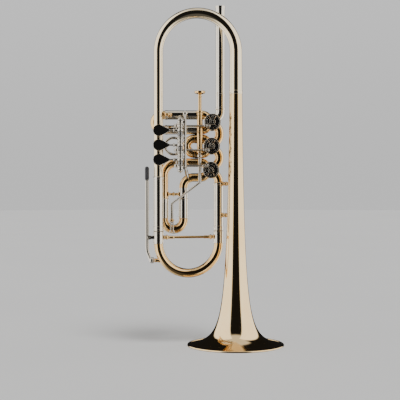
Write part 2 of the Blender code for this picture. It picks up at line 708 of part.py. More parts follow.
def make_paddle(spot, out):
    """A teardrop finger plate: a disc with a tail that narrows towards the hinge."""
    edge = [math.radians(a) for a in range(-110, 111, 20)]
    outline = [(PADDLE_REACH + PADDLE_RADIUS * math.cos(a), PADDLE_RADIUS * math.sin(a)) for a in edge]
    outline += [(17.0, 1.6), (17.0, -1.6)]
    plate = slab(outline, -0.8, 0.8)
    # The slab's own x runs outward along the arm, and its y is its thickness.
    frame = Matrix((out, Z.cross(out), Z)).transposed().to_4x4()
    plate.transform(Matrix.Translation(spot) @ frame)
    return plate


def make_lever_stand(horn):
    """The axle with its finials, and the post that carries it on two feet."""
    top, bottom = LEVER_ZONE_TOP + GAP, LEVER_ZONE_TOP - 3 * LEVER_ZONE - GAP
    thick, fin = 3.0, 3.9
    profile = [(0, bottom - thick - 5), (2.4, bottom - thick - 4.6), (fin, bottom - thick - 2.6),
               (2.4, bottom - thick - GAP - 0.4), (AXLE_RADIUS, bottom - thick - GAP),
               (AXLE_RADIUS, top + thick + GAP), (2.4, top + thick + GAP + 0.4), (fin, top + thick + 2.6),
               (2.4, top + thick + 4.6), (0, top + thick + 5)]
    place("lever_axle", turned(profile, AXLE, steps=10), "silver", horn)
    bar = block(POST + Vector((-1.3, -1.7, bottom - thick)), POST + Vector((1.3, 1.7, POST_TOP)))
    lugs = []
    bore = AXLE_RADIUS + GAP
    for low in (top, bottom - thick):
        section = [(bore, low), (3.8, low), (3.8, low + thick), (bore, low + thick)]
        eye = turned(section, AXLE, steps=10, hollow=True)
        lugs += [eye, block((AXLE.x + 2.6, POST.y - 1.7, low), (POST.x, POST.y + 1.7, low + thick))]
    front = VALVE_Y - VALVE_SLEEVE[0] - GAP
    sleeve_z = valve(1).z + LEG_OFFSET
    upper = rod(POST + Z * (sleeve_z - 1), (POST.x, front - 1.5, sleeve_z), 2.4)
    pad = rod((POST.x, front - 2.4, sleeve_z), (POST.x, front, sleeve_z), 3.2, 8, 4.6)
    third_z = valve(3).z - LEG_OFFSET
    lower = rod(POST + Z * (bottom - 1.5), (-66.0, VALVE_Y - VALVE_TUBE[0] - 0.9, third_z - 0.9), 2.2)
    place("lever_post", union(bar, *lugs, upper, pad, lower), "silver", horn)


def make_connecting_rod(number, owner):
    """From the ball on the stop arm to the eye that rides on its lever's pin."""
    ball, eye = ball_spot(number), rest_crank(number)
    stem = rod(ball, eye, 1.0, 6)
    ball_end = cylinder((ball.x, 0, ball.z), Y, 2.8, ball.y - 2.5, ball.y + 2.3, 12)
    eye_end = cylinder((eye.x, eye.y, 0), Z, 3.3, eye.z - 1.9, eye.z + 1.9, 12)
    holes = [cylinder((ball.x, 0, ball.z), Y, 1.2, ball.y - 4, ball.y + 4, 8),
             cylinder((eye.x, eye.y, 0), Z, 2.1, eye.z - 3, eye.z + 3, 8)]
    place(f"connecting_rod_{number}", cut(union(stem, ball_end, eye_end), *holes), "silver", owner)


def make_thumb_ring(horn):
    start = Vector((LEFT_X + MAIN_TUBE[0] + GAP, THUMB_RING.y, THUMB_RING.z))
    foot = rod(start, THUMB_RING - X * (THUMB_RADIUS - 1.2), 2.6)
    place("thumb_ring", union(ring(THUMB_RING, Y, THUMB_RADIUS, 1.8), foot), "silver", horn)


# ---------------------------------------------------------------- braces


def across(z, gap_left, gap_right):
    """Both ends of a brace from the right-hand sleeve towards the bell's axis at this height."""
    start, end = Vector((RIGHT_X, VALVE_Y, z)), Vector((0, 0, z))
    way = (end - start).normalized()
    return start + way * gap_left, end - way * gap_right


def make_braces(horn):
    """Two braces from the right-hand sleeve to the bell, and one from the main tube to slide 1."""
    for name, z, outer in (("bell_brace_upper", 222.2, SLEEVE[0] + 0.5),
                           ("bell_brace_lower", 178.8, SLEEVE[0])):
        start, end = across(z, outer + GAP, bell_radius(z - 4) + GAP)
        place(name, strut(start, end, 2.0, 3.4), "gold_brass", horn)
    thin, knob, flange, bend = (1.9, 0), (3.0, 0), (3.2, 0), 3.0
    route = Route((LEFT_X + MAIN_TUBE[0] + GAP, 0, valve(1).z + LEG_OFFSET), X, Z, flange)
    route.go(0.8).go(1.0, thin).go(0.8).go(1.4, knob).go(1.4, thin).turn(90, bend)
    reach = VALVE_Y - VALVE_SLEEVE[0] - GAP - bend
    route.go(reach - 1.6).go(1.0, flange).go(0.6)
    place("tube_brace", swept(route.stations, 8), "gold_brass", horn)


# ---------------------------------------------------------------- tuning slide and water key


def make_tuning_slide(owner):
    """The legs and bow, leaning from the bell's plane on the left to the valves' on the right."""
    left, right = Vector((LEFT_X, 0, 0)), Vector((RIGHT_X, VALVE_Y, 0))
    over = (right - left).normalized()
    joint = SLEEVE_END - GAP
    straight = joint - TUNING_BOW_Z
    route = Route(left + Z * (joint + TUNING_REACH), -Z, over.cross(Z), SLIDE_LEG)
    route.go(TUNING_REACH - 0.5).go(0.5, SLIDE_BOW).go(straight)
    route.turn(180, (right - left).length / 2, step=18)
    route.go(straight).go(0.5, SLIDE_LEG).go(TUNING_REACH - 0.5)
    nipple = rod(NIPPLE + X * 8, NIPPLE, 2.6)
    drain = rod(NIPPLE + X * 10, NIPPLE - X, 1.4, 6)
    place("tuning_bow", cut(union(swept(route.stations), nipple), drain), "gold_brass", owner)
    make_ferrules(left, right, joint - 0.2, owner)
    make_tuning_brace(left + over * (FERRULE[0] + GAP), right - over * (FERRULE[0] + GAP), owner)


def make_ferrules(left, right, top, owner):
    """The collars on the slide's legs; the left one carries the water key's hinge."""
    shapes = []
    for spot in (left, right):
        collar = Route(spot + Z * top, -Z, Y, FERRULE).go(top - FERRULE_END)
        shapes.append(swept(collar.stations, 12))
    bore = cylinder(left, Z, FERRULE[1], FERRULE_END - 2, top + 2, 12)
    place("ferrule_left", cut(union(shapes[0], *water_key_seat()), bore), "nickel_silver", owner)
    place("ferrule_right", shapes[1], "nickel_silver", owner)


def make_tuning_brace(start, end, owner):
    """A thin rod with a ball and a flange at each end."""
    half = (end - start).length / 2
    foot = [(0, 0), (3.2, 0), (3.2, 1), (2.2, 2.2), (3.4, 4), (2.2, 5.6), (1.85, 14)]
    profile = foot + [(radius, 2 * half - along) for radius, along in reversed(foot)]
    place("tuning_brace", turned(profile, start + Z * BRACE_Z, end - start, 8), "gold_brass", owner)


def water_key_seat():
    """Two ears and the hinge pin, standing out from the left ferrule."""
    hinge = Vector((KEY_HINGE.x, 0, BRACE_Z))
    ears = []
    for low, high in ((-4.6, -3.4), (3.4, 4.6)):
        ears.append(block((hinge.x, low, BRACE_Z - 2.2), (LEFT_X - 4, high, BRACE_Z + 2.2)))
        ears.append(cylinder(hinge, Y, 2.4, low, high, 12))
    return ears + [cylinder(hinge, Y, 0.9, -4.2, 4.2, 10)]


def make_water_key(owner):
    """A long lever beside the left leg: rubber tip above, hinge, and cork pad below on the nipple."""
    hinge = Vector((KEY_HINGE.x, 0, BRACE_Z))
    grip, bar_end, cup_x = 19.6, 134.0, NIPPLE.x - 5.6
    route = Route((KEY_X, 0, KEY_TOP - 2), -Z, Y, (1.6, 0)).go(grip - 2.6).go(0.6, (2.2, 0))
    route.go(KEY_TOP - grip - bar_end).turn(-14, 30, (1.9, 0)).go(2).turn(14, 12, (1.6, 0))
    bar = swept(route.stations, 6)
    foot = rod(route.place + Z * 2, (cup_x - 1.4, NIPPLE.y, NIPPLE.z), 1.5, 6)
    bowl = [(0, 0), (2.6, 0), (3.9, 1.2), (3.9, 3.6), (3.4, 3.6), (3.4, 2.0), (0, 2.0)]
    cup = turned(bowl, (cup_x - 2, NIPPLE.y, NIPPLE.z), X, 12)
    hub = cylinder(hinge, Y, 2.6, -3.0, -0.2, 12)
    hole = cylinder(hinge, Y, 0.9 + GAP, -5, 5, 12)
    bridge = block((KEY_X, -2.0, BRACE_Z - 1.5), (hinge.x - 1.6, -0.4, BRACE_Z + 1.5))
    spring_room = cylinder(hinge, Y, 2.9, -0.1, 3.2, 12)
    key = cut(union(bar, foot, cup, bridge, hub), hole, spring_room)
    place("water_key_lever", key, "silver", owner)
    pad = cylinder((cup_x, NIPPLE.y, NIPPLE.z), X, 3.1, GAP, 5.6 - GAP, 12)
    place("water_key_pad", pad, "cork", owner)
    top = KEY_TOP
    tip = [(0, top - 1.6), (1.9, top - 1.6), (1.9, top - grip + 1.1), (2.6, top - grip + 1.1),
           (2.8, top - 15), (2.8, top - 2.4), (2.0, top - 0.6), (0, top)]
    place("water_key_tip", turned(tip, (KEY_X, 0, 0), steps=10), "rubber", owner)
    spring = coil(hinge + Y * 0.6, 1.95, 0.35, 2, 2.1, Y, per_turn=8)
    place("water_key_spring", spring, "steel", owner)


# ---------------------------------------------------------------- assembly


def build():
    for thing in list(bpy.data.objects):
        bpy.data.objects.remove(thing)
    horn = body("horn")
    make_bell(horn)
    make_bow(horn)
    make_main_tube(horn)
    make_mouthpipe(horn)
    second_stub = valve(2).x - elbow_end() - SECOND_JOINT_X - GAP
    stubs = {1: (ELBOW_STUB, VALVE_TUBE), 2: (second_stub, VALVE_SLEEVE), 3: (ELBOW_STUB, VALVE_TUBE)}
    for number in (1, 2, 3):
        make_casing(number, *stubs[number], horn)
        make_caps(number, horn)
        centre = valve(number)
        rotor = body(f"rotor_{number}", (centre.x, 0, centre.z), horn)
        make_rotor(number, rotor)
        make_stop_arm(number, rotor)
        make_connecting_rod(number, body(f"rod_{number}", ball_spot(number), rotor))
        make_lever(number, body(f"lever_{number}", (AXLE.x, AXLE.y, lever_middle(number)), horn))
    make_knuckles(horn)
    make_first_sleeves(horn)
    make_third_tubes(horn)
    make_third_brace(horn)
    make_trigger_guide(horn)
    make_trigger_spring(horn)
    make_lever_stand(horn)
    make_thumb_ring(horn)
    make_braces(horn)
    make_slide("first_crook", 1, FIRST_CROOK_X, FIRST_JOINT_X, FIRST_REACH, body("first_slide", parent=horn))
    make_slide("second_crook", 2, SECOND_CROOK_X, SECOND_JOINT_X, SECOND_REACH,
               body("second_slide", parent=horn))
    third = body("third_slide", parent=horn)
    make_third_crook(third)
    make_trigger_plunger(third)
    make_trigger_arm(third)
    tuning = body("tuning_slide", parent=horn)
    make_tuning_slide(tuning)
    make_water_key(body("water_key", KEY_HINGE, tuning))


build()
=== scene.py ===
"""The looks of a rotary-valve trumpet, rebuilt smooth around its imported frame.

The pieces are made in millimetres, in the frame's axes, and show() turns them into metres. The floor,
the light and the camera are in metres. Places come from the frame's boxes and joints. -y is the side
of the finger levers, and +z runs up the bell to the mouthpiece end.
"""

import json
from math import asin, atan2, copysign, cos, hypot, pi, radians, sin, sqrt

import bmesh
import bpy
from mathutils import Matrix, Vector

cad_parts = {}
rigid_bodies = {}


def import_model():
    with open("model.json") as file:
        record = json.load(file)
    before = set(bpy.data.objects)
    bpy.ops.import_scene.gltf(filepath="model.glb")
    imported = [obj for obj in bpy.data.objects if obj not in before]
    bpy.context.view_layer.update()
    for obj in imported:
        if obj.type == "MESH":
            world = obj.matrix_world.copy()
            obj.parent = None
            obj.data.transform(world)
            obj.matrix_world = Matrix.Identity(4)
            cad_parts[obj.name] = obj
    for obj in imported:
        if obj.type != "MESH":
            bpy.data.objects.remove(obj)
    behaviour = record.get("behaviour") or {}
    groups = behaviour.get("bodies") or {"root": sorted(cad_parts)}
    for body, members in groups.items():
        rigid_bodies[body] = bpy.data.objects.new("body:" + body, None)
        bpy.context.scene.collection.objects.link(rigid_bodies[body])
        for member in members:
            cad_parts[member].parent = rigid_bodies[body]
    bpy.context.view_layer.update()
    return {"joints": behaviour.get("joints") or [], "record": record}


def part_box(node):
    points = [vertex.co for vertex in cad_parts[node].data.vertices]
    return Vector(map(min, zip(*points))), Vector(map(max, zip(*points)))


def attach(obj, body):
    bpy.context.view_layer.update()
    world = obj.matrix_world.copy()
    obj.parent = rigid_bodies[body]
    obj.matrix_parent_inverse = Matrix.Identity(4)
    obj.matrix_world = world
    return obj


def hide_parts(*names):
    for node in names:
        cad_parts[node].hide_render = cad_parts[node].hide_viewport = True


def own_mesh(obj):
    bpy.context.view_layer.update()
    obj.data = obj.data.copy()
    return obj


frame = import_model()

MM = 0.001
X, Y, Z = Vector((1, 0, 0)), Vector((0, 1, 0)), Vector((0, 0, 1))
BEHAVIOUR = frame["record"]["behaviour"]
JOINTS = {joint["name"]: joint for joint in frame["joints"]}
BODY_OF = {node: body for body, nodes in BEHAVIOUR["bodies"].items() for node in nodes}
SLOT_OF = {part["node"]: part["material_slot"] for part in frame["record"]["subparts"]}

# Tube radii, as (outer, bore).
MAIN_TUBE = (6.25, 5.6)
PIPE_TUBE = (6.3, 5.3)
SLEEVE = (6.8, 6.0)
SLIDE_LEG = (5.6, 5.0)
SLIDE_BOW = (6.15, 5.1)
VALVE_TUBE = (5.9, 5.2)
VALVE_SLEEVE = (6.3, 5.6)
VALVE_LEG = (5.2, 4.6)
FERRULE = (7.1, 6.5)

FLARE_DEPTH = 5.0  # the bell's radius falls with (1 + height / FLARE_DEPTH) ** -FLARE_POWER
FLARE_POWER = 0.48
RIM_WIRE = 1.2  # radius of the wire rolled into the rim
COS_45 = cos(radians(45))  # the valves' ports stand at 45 degrees
PORT_BEND = 8.0  # bend radius of the tubes from the ports to the slides
KNUCKLE_BEND = 12.5  # and of those between the valves
LEG_OFFSET = 10.3  # height of a slide leg above or below its valve's axis
ELBOW_REACH = LEG_OFFSET + PORT_BEND * (2 * COS_45 - 1)  # from a valve's axis to its elbow's straight
CASING_BORE = 9.6
SHAFT_RADIUS = 2.2
PORT_RADIUS = 4.3
SECOND_LAP = 8.0  # how far the second slide's legs reach into the elbows
THIRD_SLEEVE = 27.65  # length of each of the third slide's sleeves
BARREL_HALF = 9.7  # half the length of a lever's hinge barrel
PLATE_REACH = 29.3  # from a lever's hinge to the middle of its finger plate
KNURL_STEPS = 144  # columns of points round a rear cap


# ---- places in the frame


def low(node):
    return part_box(node)[0] / MM


def high(node):
    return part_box(node)[1] / MM


def middle(node):
    return (low(node) + high(node)) / 2


def size(node):
    return high(node) - low(node)


def pivot(joint):
    return Vector(JOINTS[joint]["pos_m"]) / MM


def valve(number):
    return pivot(f"rotor_{number}_turn")


BELL_X = middle("bell").x
LEFT_X = middle("main_tube").x
RIGHT_X = middle("tuning_sleeve_right").x
PIPE_X = middle("mouthpiece_receiver").x
VALVE_Y = middle("mouthpiece_receiver").y
BELL_TOP = high("bell").z
BOW_Z = high("main_tube").z
CASING_RADIUS = size("rear_cap_1").x / 2
CASING_BACK = high("valve_casing_1").y
CASING_FRONT = low("valve_casing_1").y
PLATE_FRONT = CASING_FRONT - 2.8


# ---- shapes


class Route:
    """A tube walked in one plane: it keeps a place and a heading, and notes a station per ring."""

    def __init__(self, place, heading, normal, radii):
        self.place = Vector(place)
        self.heading = Vector(heading).normalized()
        self.normal = Vector(normal).normalized()
        self.radii = radii
        self.stations = []
        self.mark()

    def mark(self):
        self.stations.append((self.place.copy(), self.heading.copy(), self.normal, *self.radii))

    def go(self, length, radii=None):
        """Runs straight, reaching the given (outer, bore) radii at the end."""
        self.place = self.place + self.heading * length
        self.radii = radii or self.radii
        self.mark()
        return self

    def bulge(self, length, height, steps=6):
        """Runs straight over a rounded ring of the given height."""
        base, bore = self.radii
        for k in range(1, steps + 1):
            self.go(length / steps, (base + height * sin(pi * k / steps), bore))
        self.radii = (base, bore)
        return self

    def collar(self, length, height, edge=0.25):
        """Runs straight over a flat ring with rounded edges."""
        base, bore = self.radii
        for rise, run in ((0.0, 0.0), (0.7, edge * 0.3), (1.0, edge * 0.7)):
            self.go(run + 1e-3, (base + height * rise, bore))
        self.go(length - 2 * edge)
        for rise, run in ((0.7, edge * 0.7), (0.0, edge * 0.3)):
            self.go(run, (base + height * rise, bore))
        return self

    def turn(self, degrees, radius, radii=None, step=5):
        """Bends by the angle about the normal, right-handed, changing the radii evenly."""
        count = max(3, round(abs(degrees) / step))
        spin = Matrix.Rotation(radians(degrees / count), 3, self.normal)
        centre = self.place + self.normal.cross(self.heading) * copysign(radius, degrees)
        start, end = self.radii, radii or self.radii
        for k in range(1, count + 1):
            self.place = centre + spin @ (self.place - centre)
            self.heading = spin @ self.heading
            self.radii = tuple(a + (b - a) * k / count for a, b in zip(start, end))
            self.mark()
        return self


def backwards(route):
    """A route's stations walked the other way, without its first one."""
    return [(place, -heading, *rest) for place, heading, *rest in route.stations[:0:-1]]


def skin(shape, loop, next_loop):
    """Quads between two rings of equal length, or triangles to a single point."""
    count = max(len(loop), len(next_loop))
    for k in range(count):
        if len(loop) == 1:
            shape.faces.new((loop[0], next_loop[k], next_loop[k - 1]))
        elif len(next_loop) == 1:
            shape.faces.new((loop[k - 1], loop[k], next_loop[0]))
        else:
            shape.faces.new((loop[k - 1], loop[k], next_loop[k], next_loop[k - 1]))


def swept(stations, sides=32, closed=False, flat=1.0):
    """A tube, or a rod where the bore is 0, through stations (place, heading, normal, outer, bore).

    flat scales the section along the normal."""
    shape = bmesh.new()
    angles = [2 * pi * k / sides for k in range(sides)]
    sections = []
    for place, heading, normal, outer, bore in stations:
        across = heading.cross(normal).normalized()
        section = [(normal * cos(a) * flat + across * sin(a)) for a in angles]
        radii = (outer, bore) if bore else (outer,)
        sections.append([[shape.verts.new(place + out * radius) for out in section] for radius in radii])
    for section, next_section in zip(sections, sections[1:] + sections[:closed]):
        for loop, next_loop in zip(section, next_section):
            skin(shape, loop, next_loop)
    if not closed:
        for section in (sections[0], sections[-1]):
            if len(section) == 2:
                skin(shape, *section)
            else:
                shape.faces.new(section[0])
    bmesh.ops.recalc_face_normals(shape, faces=shape.faces)
    return shape


def softened(points, radius=0.3, steps=3, closed=False):
    """An outline with its corners rounded."""
    result = []
    count = len(points)
    for k, corner in enumerate(points):
        here = Vector(corner)
        before, after = Vector(points[k - 1]) - here, Vector(points[(k + 1) % count]) - here
        reach = min(radius, before.length * 0.45, after.length * 0.45)
        if reach < 0.02 or (not closed and k in (0, count - 1)):
            result.append(tuple(corner))
            continue
        first, third = here + before.normalized() * reach, here + after.normalized() * reach
        for s in range(steps + 1):
            t = s / steps
            result.append(tuple(first * (1 - t) ** 2 + here * 2 * t * (1 - t) + third * t * t))
    return result


def turned(profile, place=(0, 0, 0), axis=Z, steps=48, hollow=False, soft=0.25):
    """A lathe piece. The profile is (radius, height) points; a hollow one closes on itself."""
    points = softened(profile, soft, closed=hollow) if soft else profile
    axis = Vector(axis).normalized()
    side = axis.orthogonal().normalized()
    across = axis.cross(side)
    shape = bmesh.new()
    angles = [2 * pi * k / steps for k in range(steps)]
    loops = []
    for radius, height in points:
        centre = Vector(place) + axis * height
        outward = [(side * cos(a) + across * sin(a)) for a in angles] if radius > 1e-6 else [side]
        loops.append([shape.verts.new(centre + out * radius) for out in outward])
    for loop, next_loop in zip(loops, loops[1:] + loops[:hollow]):
        if len(loop) > 1 or len(next_loop) > 1:
            skin(shape, loop, next_loop)
    bmesh.ops.recalc_face_normals(shape, faces=shape.faces)
    return shape


def mirror(points, ends=0.0):
    """The other half of a symmetric lathe profile whose first and last heights add up to ends."""
    return [(radius, ends - height) for radius, height in reversed(points)]


def rod(start, end, radius, sides=20, end_radius=None):
    """A round bar with slightly rounded ends, tapering to end_radius."""
    start, end = Vector(start), Vector(end)
    last = radius if end_radius is None else end_radius
    length = (end - start).length
    return turned([(0, 0), (radius, 0), (last, length), (0, length)], start, end - start, sides)


def ball(centre, radius):
    angles = [pi * k / 12 for k in range(1, 12)]
    curve = [(radius * sin(a), -radius * cos(a)) for a in angles]
    return turned([(0, -radius)] + curve + [(0, radius)], centre, Z, 24, soft=0)


def ring(centre, normal, radius, wire, steps=64):
    """A torus of the given wire radius."""
    first = normal.orthogonal().normalized()
    stations = []
    for k in range(steps):
        out = Matrix.Rotation(2 * pi * k / steps, 3, normal) @ first
        stations.append((centre + out * radius, normal.cross(out), normal, wire, 0))
    return swept(stations, 20, closed=True)


def coil(centre, radius, wire, turns, height, axis=Z, per_turn=28):
    """A helical spring, standing up from its centre along the axis."""
    start = axis.orthogonal().normalized()
    rise = height / (turns * 2 * pi)
    stations = []
    for k in range(turns * per_turn + 1):
        angle = 2 * pi * k / per_turn
        out = Matrix.Rotation(angle, 3, axis) @ start
        heading = (axis.cross(out) * radius + axis * rise).normalized()
        stations.append((centre + out * radius + axis * rise * angle, heading, out, wire, 0))
    return swept(stations, 12)


def bevelled(shape, width, sharp=30):
    """The shape with every edge rounded that turns by more than the sharp angle, in degrees."""
    edges = [edge for edge in shape.edges if edge.calc_face_angle(0) > radians(sharp)]
    bmesh.ops.bevel(shape, geom=edges, offset=width, segments=3, affect="EDGES", profile=0.5)
    return shape


def block(low_corner, high_corner, soft=0.25):
    """A box between two opposite corners, with rounded edges."""
    first, last = Vector(low_corner), Vector(high_corner)
    shape = bmesh.new()
    bmesh.ops.create_cube(shape, size=1)
    shape.transform(Matrix.Translation((first + last) / 2) @ Matrix.Diagonal((*(last - first), 1)))
    return bevelled(shape, soft)


def lofted(loops):
    """A closed solid through loops of points, all of one length."""
    shape = bmesh.new()
    rows = [[shape.verts.new(point) for point in loop] for loop in loops]
    for row, next_row in zip(rows, rows[1:]):
        skin(shape, row, next_row)
    shape.faces.new(rows[0])
    shape.faces.new(rows[-1])
    bmesh.ops.recalc_face_normals(shape, faces=shape.faces)
    return shape


def slab(outline, y_low, y_high, soft):
    """A flat plate: an outline of (x, z) points, thick from y_low to y_high, with rounded edges."""
    return bevelled(lofted([[(x, y, z) for x, z in outline] for y in (y_low, y_high)]), soft, 40)


def placed(name, shape):
    """An object in the scene, made of a shape."""
    mesh = bpy.data.meshes.new(name)
    shape.to_mesh(mesh)
    shape.free()
    thing = bpy.data.objects.new(name, mesh)
    bpy.context.scene.collection.objects.link(thing)
    return thing


def boolean(operation, first, others):
    """The first shape with each of the others united with it, or cut from it."""
    for other in others:
        base, tool = placed("working_shape", first), placed("working_tool", other)
        modifier = base.modifiers.new("combine", "BOOLEAN")
        modifier.operation = operation
        modifier.solver = "MANIFOLD"
        modifier.object = tool
        bpy.context.view_layer.update()
        graph = bpy.context.evaluated_depsgraph_get()
        result = bpy.data.meshes.new_from_object(base.evaluated_get(graph))
        first = bmesh.new()
        first.from_mesh(result)
        meshes = [result, base.data, tool.data]
        bpy.data.batch_remove([base, tool] + meshes)
    return first


def union(first, *others):
    return boolean("UNION", first, others)


def cut(first, *others):
    return boolean("DIFFERENCE", first, others)


# ---- materials


class Nodes:
    """Short names for building a material or world's node tree."""

    def __init__(self, tree):
        self.tree = tree
        tree.nodes.clear()

    def add(self, kind, **values):
        """A node; keyword names are properties, and the "inputs" dict sets or links its inputs."""
        inputs = values.pop("inputs", {})
        node = self.tree.nodes.new(kind)
        for name, value in values.items():
            setattr(node, name, value)
        for name, value in inputs.items():
            if isinstance(value, bpy.types.NodeSocket):
                self.tree.links.new(value, node.inputs[name])
            else:
                node.inputs[name].default_value = value
        return node

    def math(self, operation, a, b=0.0, c=0.0):
        return self.add("ShaderNodeMath", operation=operation, inputs={0: a, 1: b, 2: c}).outputs[0]

    def span(self, value, from_low, from_high, to_low=0.0, to_high=1.0, kind="LINEAR"):
        """The value mapped from one range to another, clamped."""
        inputs = {"Value": value, "From Min": from_low, "From Max": from_high, "To Min": to_low,
                  "To Max": to_high}
        return self.add("ShaderNodeMapRange", interpolation_type=kind, inputs=inputs).outputs["Result"]

    def fade(self, value, from_low, from_high, to_low=0.0, to_high=1.0):
        """Like span, but easing in and out."""
        return self.span(value, from_low, from_high, to_low, to_high, "SMOOTHSTEP")

    def noise(self, vector, scale, detail=3.0, rough=0.5):
        inputs = {"Vector": vector, "Scale": scale, "Detail": detail, "Roughness": rough}
        return self.add("ShaderNodeTexNoise", inputs=inputs).outputs["Fac"]

    def blend(self, share, first, second, mode="MIX"):
        # A Mix node's colour inputs are its sockets 6 and 7, and its colour output is socket 2.
        inputs = {0: share, 6: first, 7: second}
        return self.add("ShaderNodeMix", data_type="RGBA", blend_type=mode, inputs=inputs).outputs[2]

    def bump(self, height, strength, distance):
        inputs = {"Height": height, "Strength": strength, "Distance": distance}
        return self.add("ShaderNodeBump", inputs=inputs).outputs[0]

    def surface(self, **inputs):
        """Ends the tree in one shader; the keywords are its inputs, with _ for each space."""
        inputs = {name.replace("_", " "): value for name, value in inputs.items()}
        shader = self.add("ShaderNodeBsdfPrincipled", inputs=inputs)
        self.add("ShaderNodeOutputMaterial", inputs={"Surface": shader.outputs[0]})


def new_material(name):
    """A material, the helper for its node tree, and the place on the object as a vector."""
    made = bpy.data.materials.new(name)
    made.use_nodes = True
    nodes = Nodes(made.node_tree)
    return made, nodes, nodes.add("ShaderNodeTexCoord").outputs["Object"]


def metal(name, colour, warm, rough, grain=0.015):
    """Polished plate or brass: uneven tone, hand-buffed roughness, a fine grain, and painted shade that
    darkens the colour in crevices and between nearby parts.
    """
    made, nodes, spot = new_material(name)
    tone = nodes.span(nodes.noise(spot, 38.0), 0.38, 0.66)
    tint = nodes.blend(nodes.math("MULTIPLY", tone, 0.6), (*colour, 1), (*warm, 1))
    # Painted shade: ambient occlusion within 2.5 mm darkens the base colour, down to 0.55, in crevices and
    # between parts.
    crevice = nodes.add("ShaderNodeAmbientOcclusion", samples=4, inputs={"Distance": 0.0025}).outputs["AO"]
    painted_crevice_shade = nodes.span(crevice, 0.25, 0.85, 0.55, 1.0)
    shade = nodes.add("ShaderNodeCombineColor", inputs={0: painted_crevice_shade, 1: painted_crevice_shade, 2: painted_crevice_shade}).outputs[0]
    tint = nodes.blend(1.0, tint, shade, "MULTIPLY")
    gloss = nodes.span(nodes.noise(spot, 210.0, 4.0, 0.6), 0.3, 0.7, rough * 0.75, rough * 1.35)
    bump = nodes.bump(nodes.noise(spot, 2600.0, 2.0), grain, 0.0002)
    nodes.surface(Base_Color=tint, Metallic=1.0, Roughness=gloss, Normal=bump)
    made.diffuse_color = (*colour, 1)
    return made


def cork():
    """Pressed cork: pale and dark grains with small pits."""
    made, nodes, spot = new_material("pressed_cork")
    grain = nodes.add("ShaderNodeTexVoronoi", inputs={"Vector": spot, "Scale": 1500.0}).outputs["Distance"]
    speck = nodes.span(nodes.noise(spot, 900.0, 4.0, 0.7), 0.35, 0.7)
    tint = nodes.blend(speck, (0.62, 0.43, 0.25, 1), (0.30, 0.17, 0.08, 1))
    height = nodes.math("ADD", grain, nodes.math("MULTIPLY", speck, 0.5))
    nodes.surface(Base_Color=tint, Roughness=0.85, Normal=nodes.bump(height, 0.5, 0.0003))
    return made


def rubber():
    """Dark rubber with a faint bloom and a moulded grain."""
    made, nodes, spot = new_material("dark_rubber")
    bloom = nodes.span(nodes.noise(spot, 160.0, 4.0), 0.35, 0.7)
    tint = nodes.blend(bloom, (0.022, 0.022, 0.026, 1), (0.05, 0.05, 0.056, 1))
    bump = nodes.bump(nodes.noise(spot, 1800.0), 0.15, 0.0002)
    nodes.surface(Base_Color=tint, Roughness=nodes.span(bloom, 0.0, 1.0, 0.38, 0.5), Normal=bump)
    return made


METALS = {
    "champagne_brass": ((0.94, 0.71, 0.39), (0.90, 0.64, 0.32), 0.07),
    "pale_brass": ((0.92, 0.79, 0.56), (0.90, 0.73, 0.48), 0.07),
    "gold_brass": ((0.91, 0.63, 0.29), (0.83, 0.51, 0.22), 0.08),
    "nickel_silver": ((0.79, 0.74, 0.65), (0.74, 0.67, 0.54), 0.08),
    # silver is the metal's own tone made darker as painted shade, standing in for the weaker light on the
    # small parts in front that use it.
    "silver": ((0.64, 0.61, 0.55), (0.58, 0.53, 0.45), 0.07),
    "steel": ((0.42, 0.41, 0.40), (0.33, 0.31, 0.28), 0.2, 0.05),
}
FINISHES = {name: metal(name, *look) for name, look in METALS.items()}
FINISHES["cork"] = cork()
FINISHES["rubber"] = rubber()


# ---- showing pieces


def show(name, shape, node, finish=None):
    """Makes an object of a shape, riding on the body of the CAD node that it stands for.

    A finish that the record has no slot for, such as pale_brass, is used as given; with no finish, the
    node's own slot names the material."""
    slot = finish if finish in SLOT_OF.values() else SLOT_OF[node]
    shape.transform(Matrix.Scale(MM, 4))
    piece = placed(name, shape)
    piece.data.materials.append(FINISHES[finish or slot])
    piece.data.shade_smooth()
    piece.data.set_sharp_from_angle(angle=radians(42))
    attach(piece, BODY_OF[node])
    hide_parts(node)
    return piece


def fine(node, shape, finish=None):
    """The smooth piece for one CAD node."""
    return show("fine_" + node, shape, node, finish)


# ---- bell, bow and long tubes


def bell_radius(z):
    rim = size("bell").x / 2
    return rim * (1 + (z - RIM_WIRE) / FLARE_DEPTH) ** -FLARE_POWER


def make_bell():
    """The flare, thinly walled and open, with a wire rolled into its rim."""
    rim, wall, count = size("bell").x / 2, 0.9, 90
    # The outside starts just inside the rim wire's top.
    edge = rim - 2 * RIM_WIRE + 0.1
    start = RIM_WIRE + FLARE_DEPTH * ((edge / rim) ** (-1 / FLARE_POWER) - 1)
    outside, inside = [], []
    for k in range(count + 1):
        z = start + (BELL_TOP - start) * (k / count) ** 2.6
        radius = bell_radius(z)
        slope = -FLARE_POWER * radius / (FLARE_DEPTH + z - RIM_WIRE)
        square = wall / hypot(1, slope)
        outside.append((radius, z))
        inside.append((radius - square, z + slope * square))
    inside[-1] = (inside[-1][0], BELL_TOP)
    lean = asin(0.5)
    angles = [pi - lean - (2 * pi - 2 * lean) * k / 24 for k in range(25)]
    bead = [(rim - RIM_WIRE + RIM_WIRE * cos(a), RIM_WIRE + RIM_WIRE * sin(a)) for a in angles]
    fine("bell", turned(outside[::-1] + bead + inside, (BELL_X, 0, 0), steps=128, hollow=True, soft=0))


def make_bow():
    """The bow over the top, from a ring on the bell's end down to the main tube."""
    top, ferrule = bell_radius(BELL_TOP), 5.0
    route = Route((BELL_X, 0, BELL_TOP), Z, Y, (top, top - 0.8))
    route.collar(ferrule, 0.45).go(BOW_Z - BELL_TOP - ferrule, (top - 0.4, top - 1.2))
    route.turn(-180, (BELL_X - LEFT_X) / 2, MAIN_TUBE, step=3)
    fine("bell_bow", swept(route.stations, 40), "pale_brass")


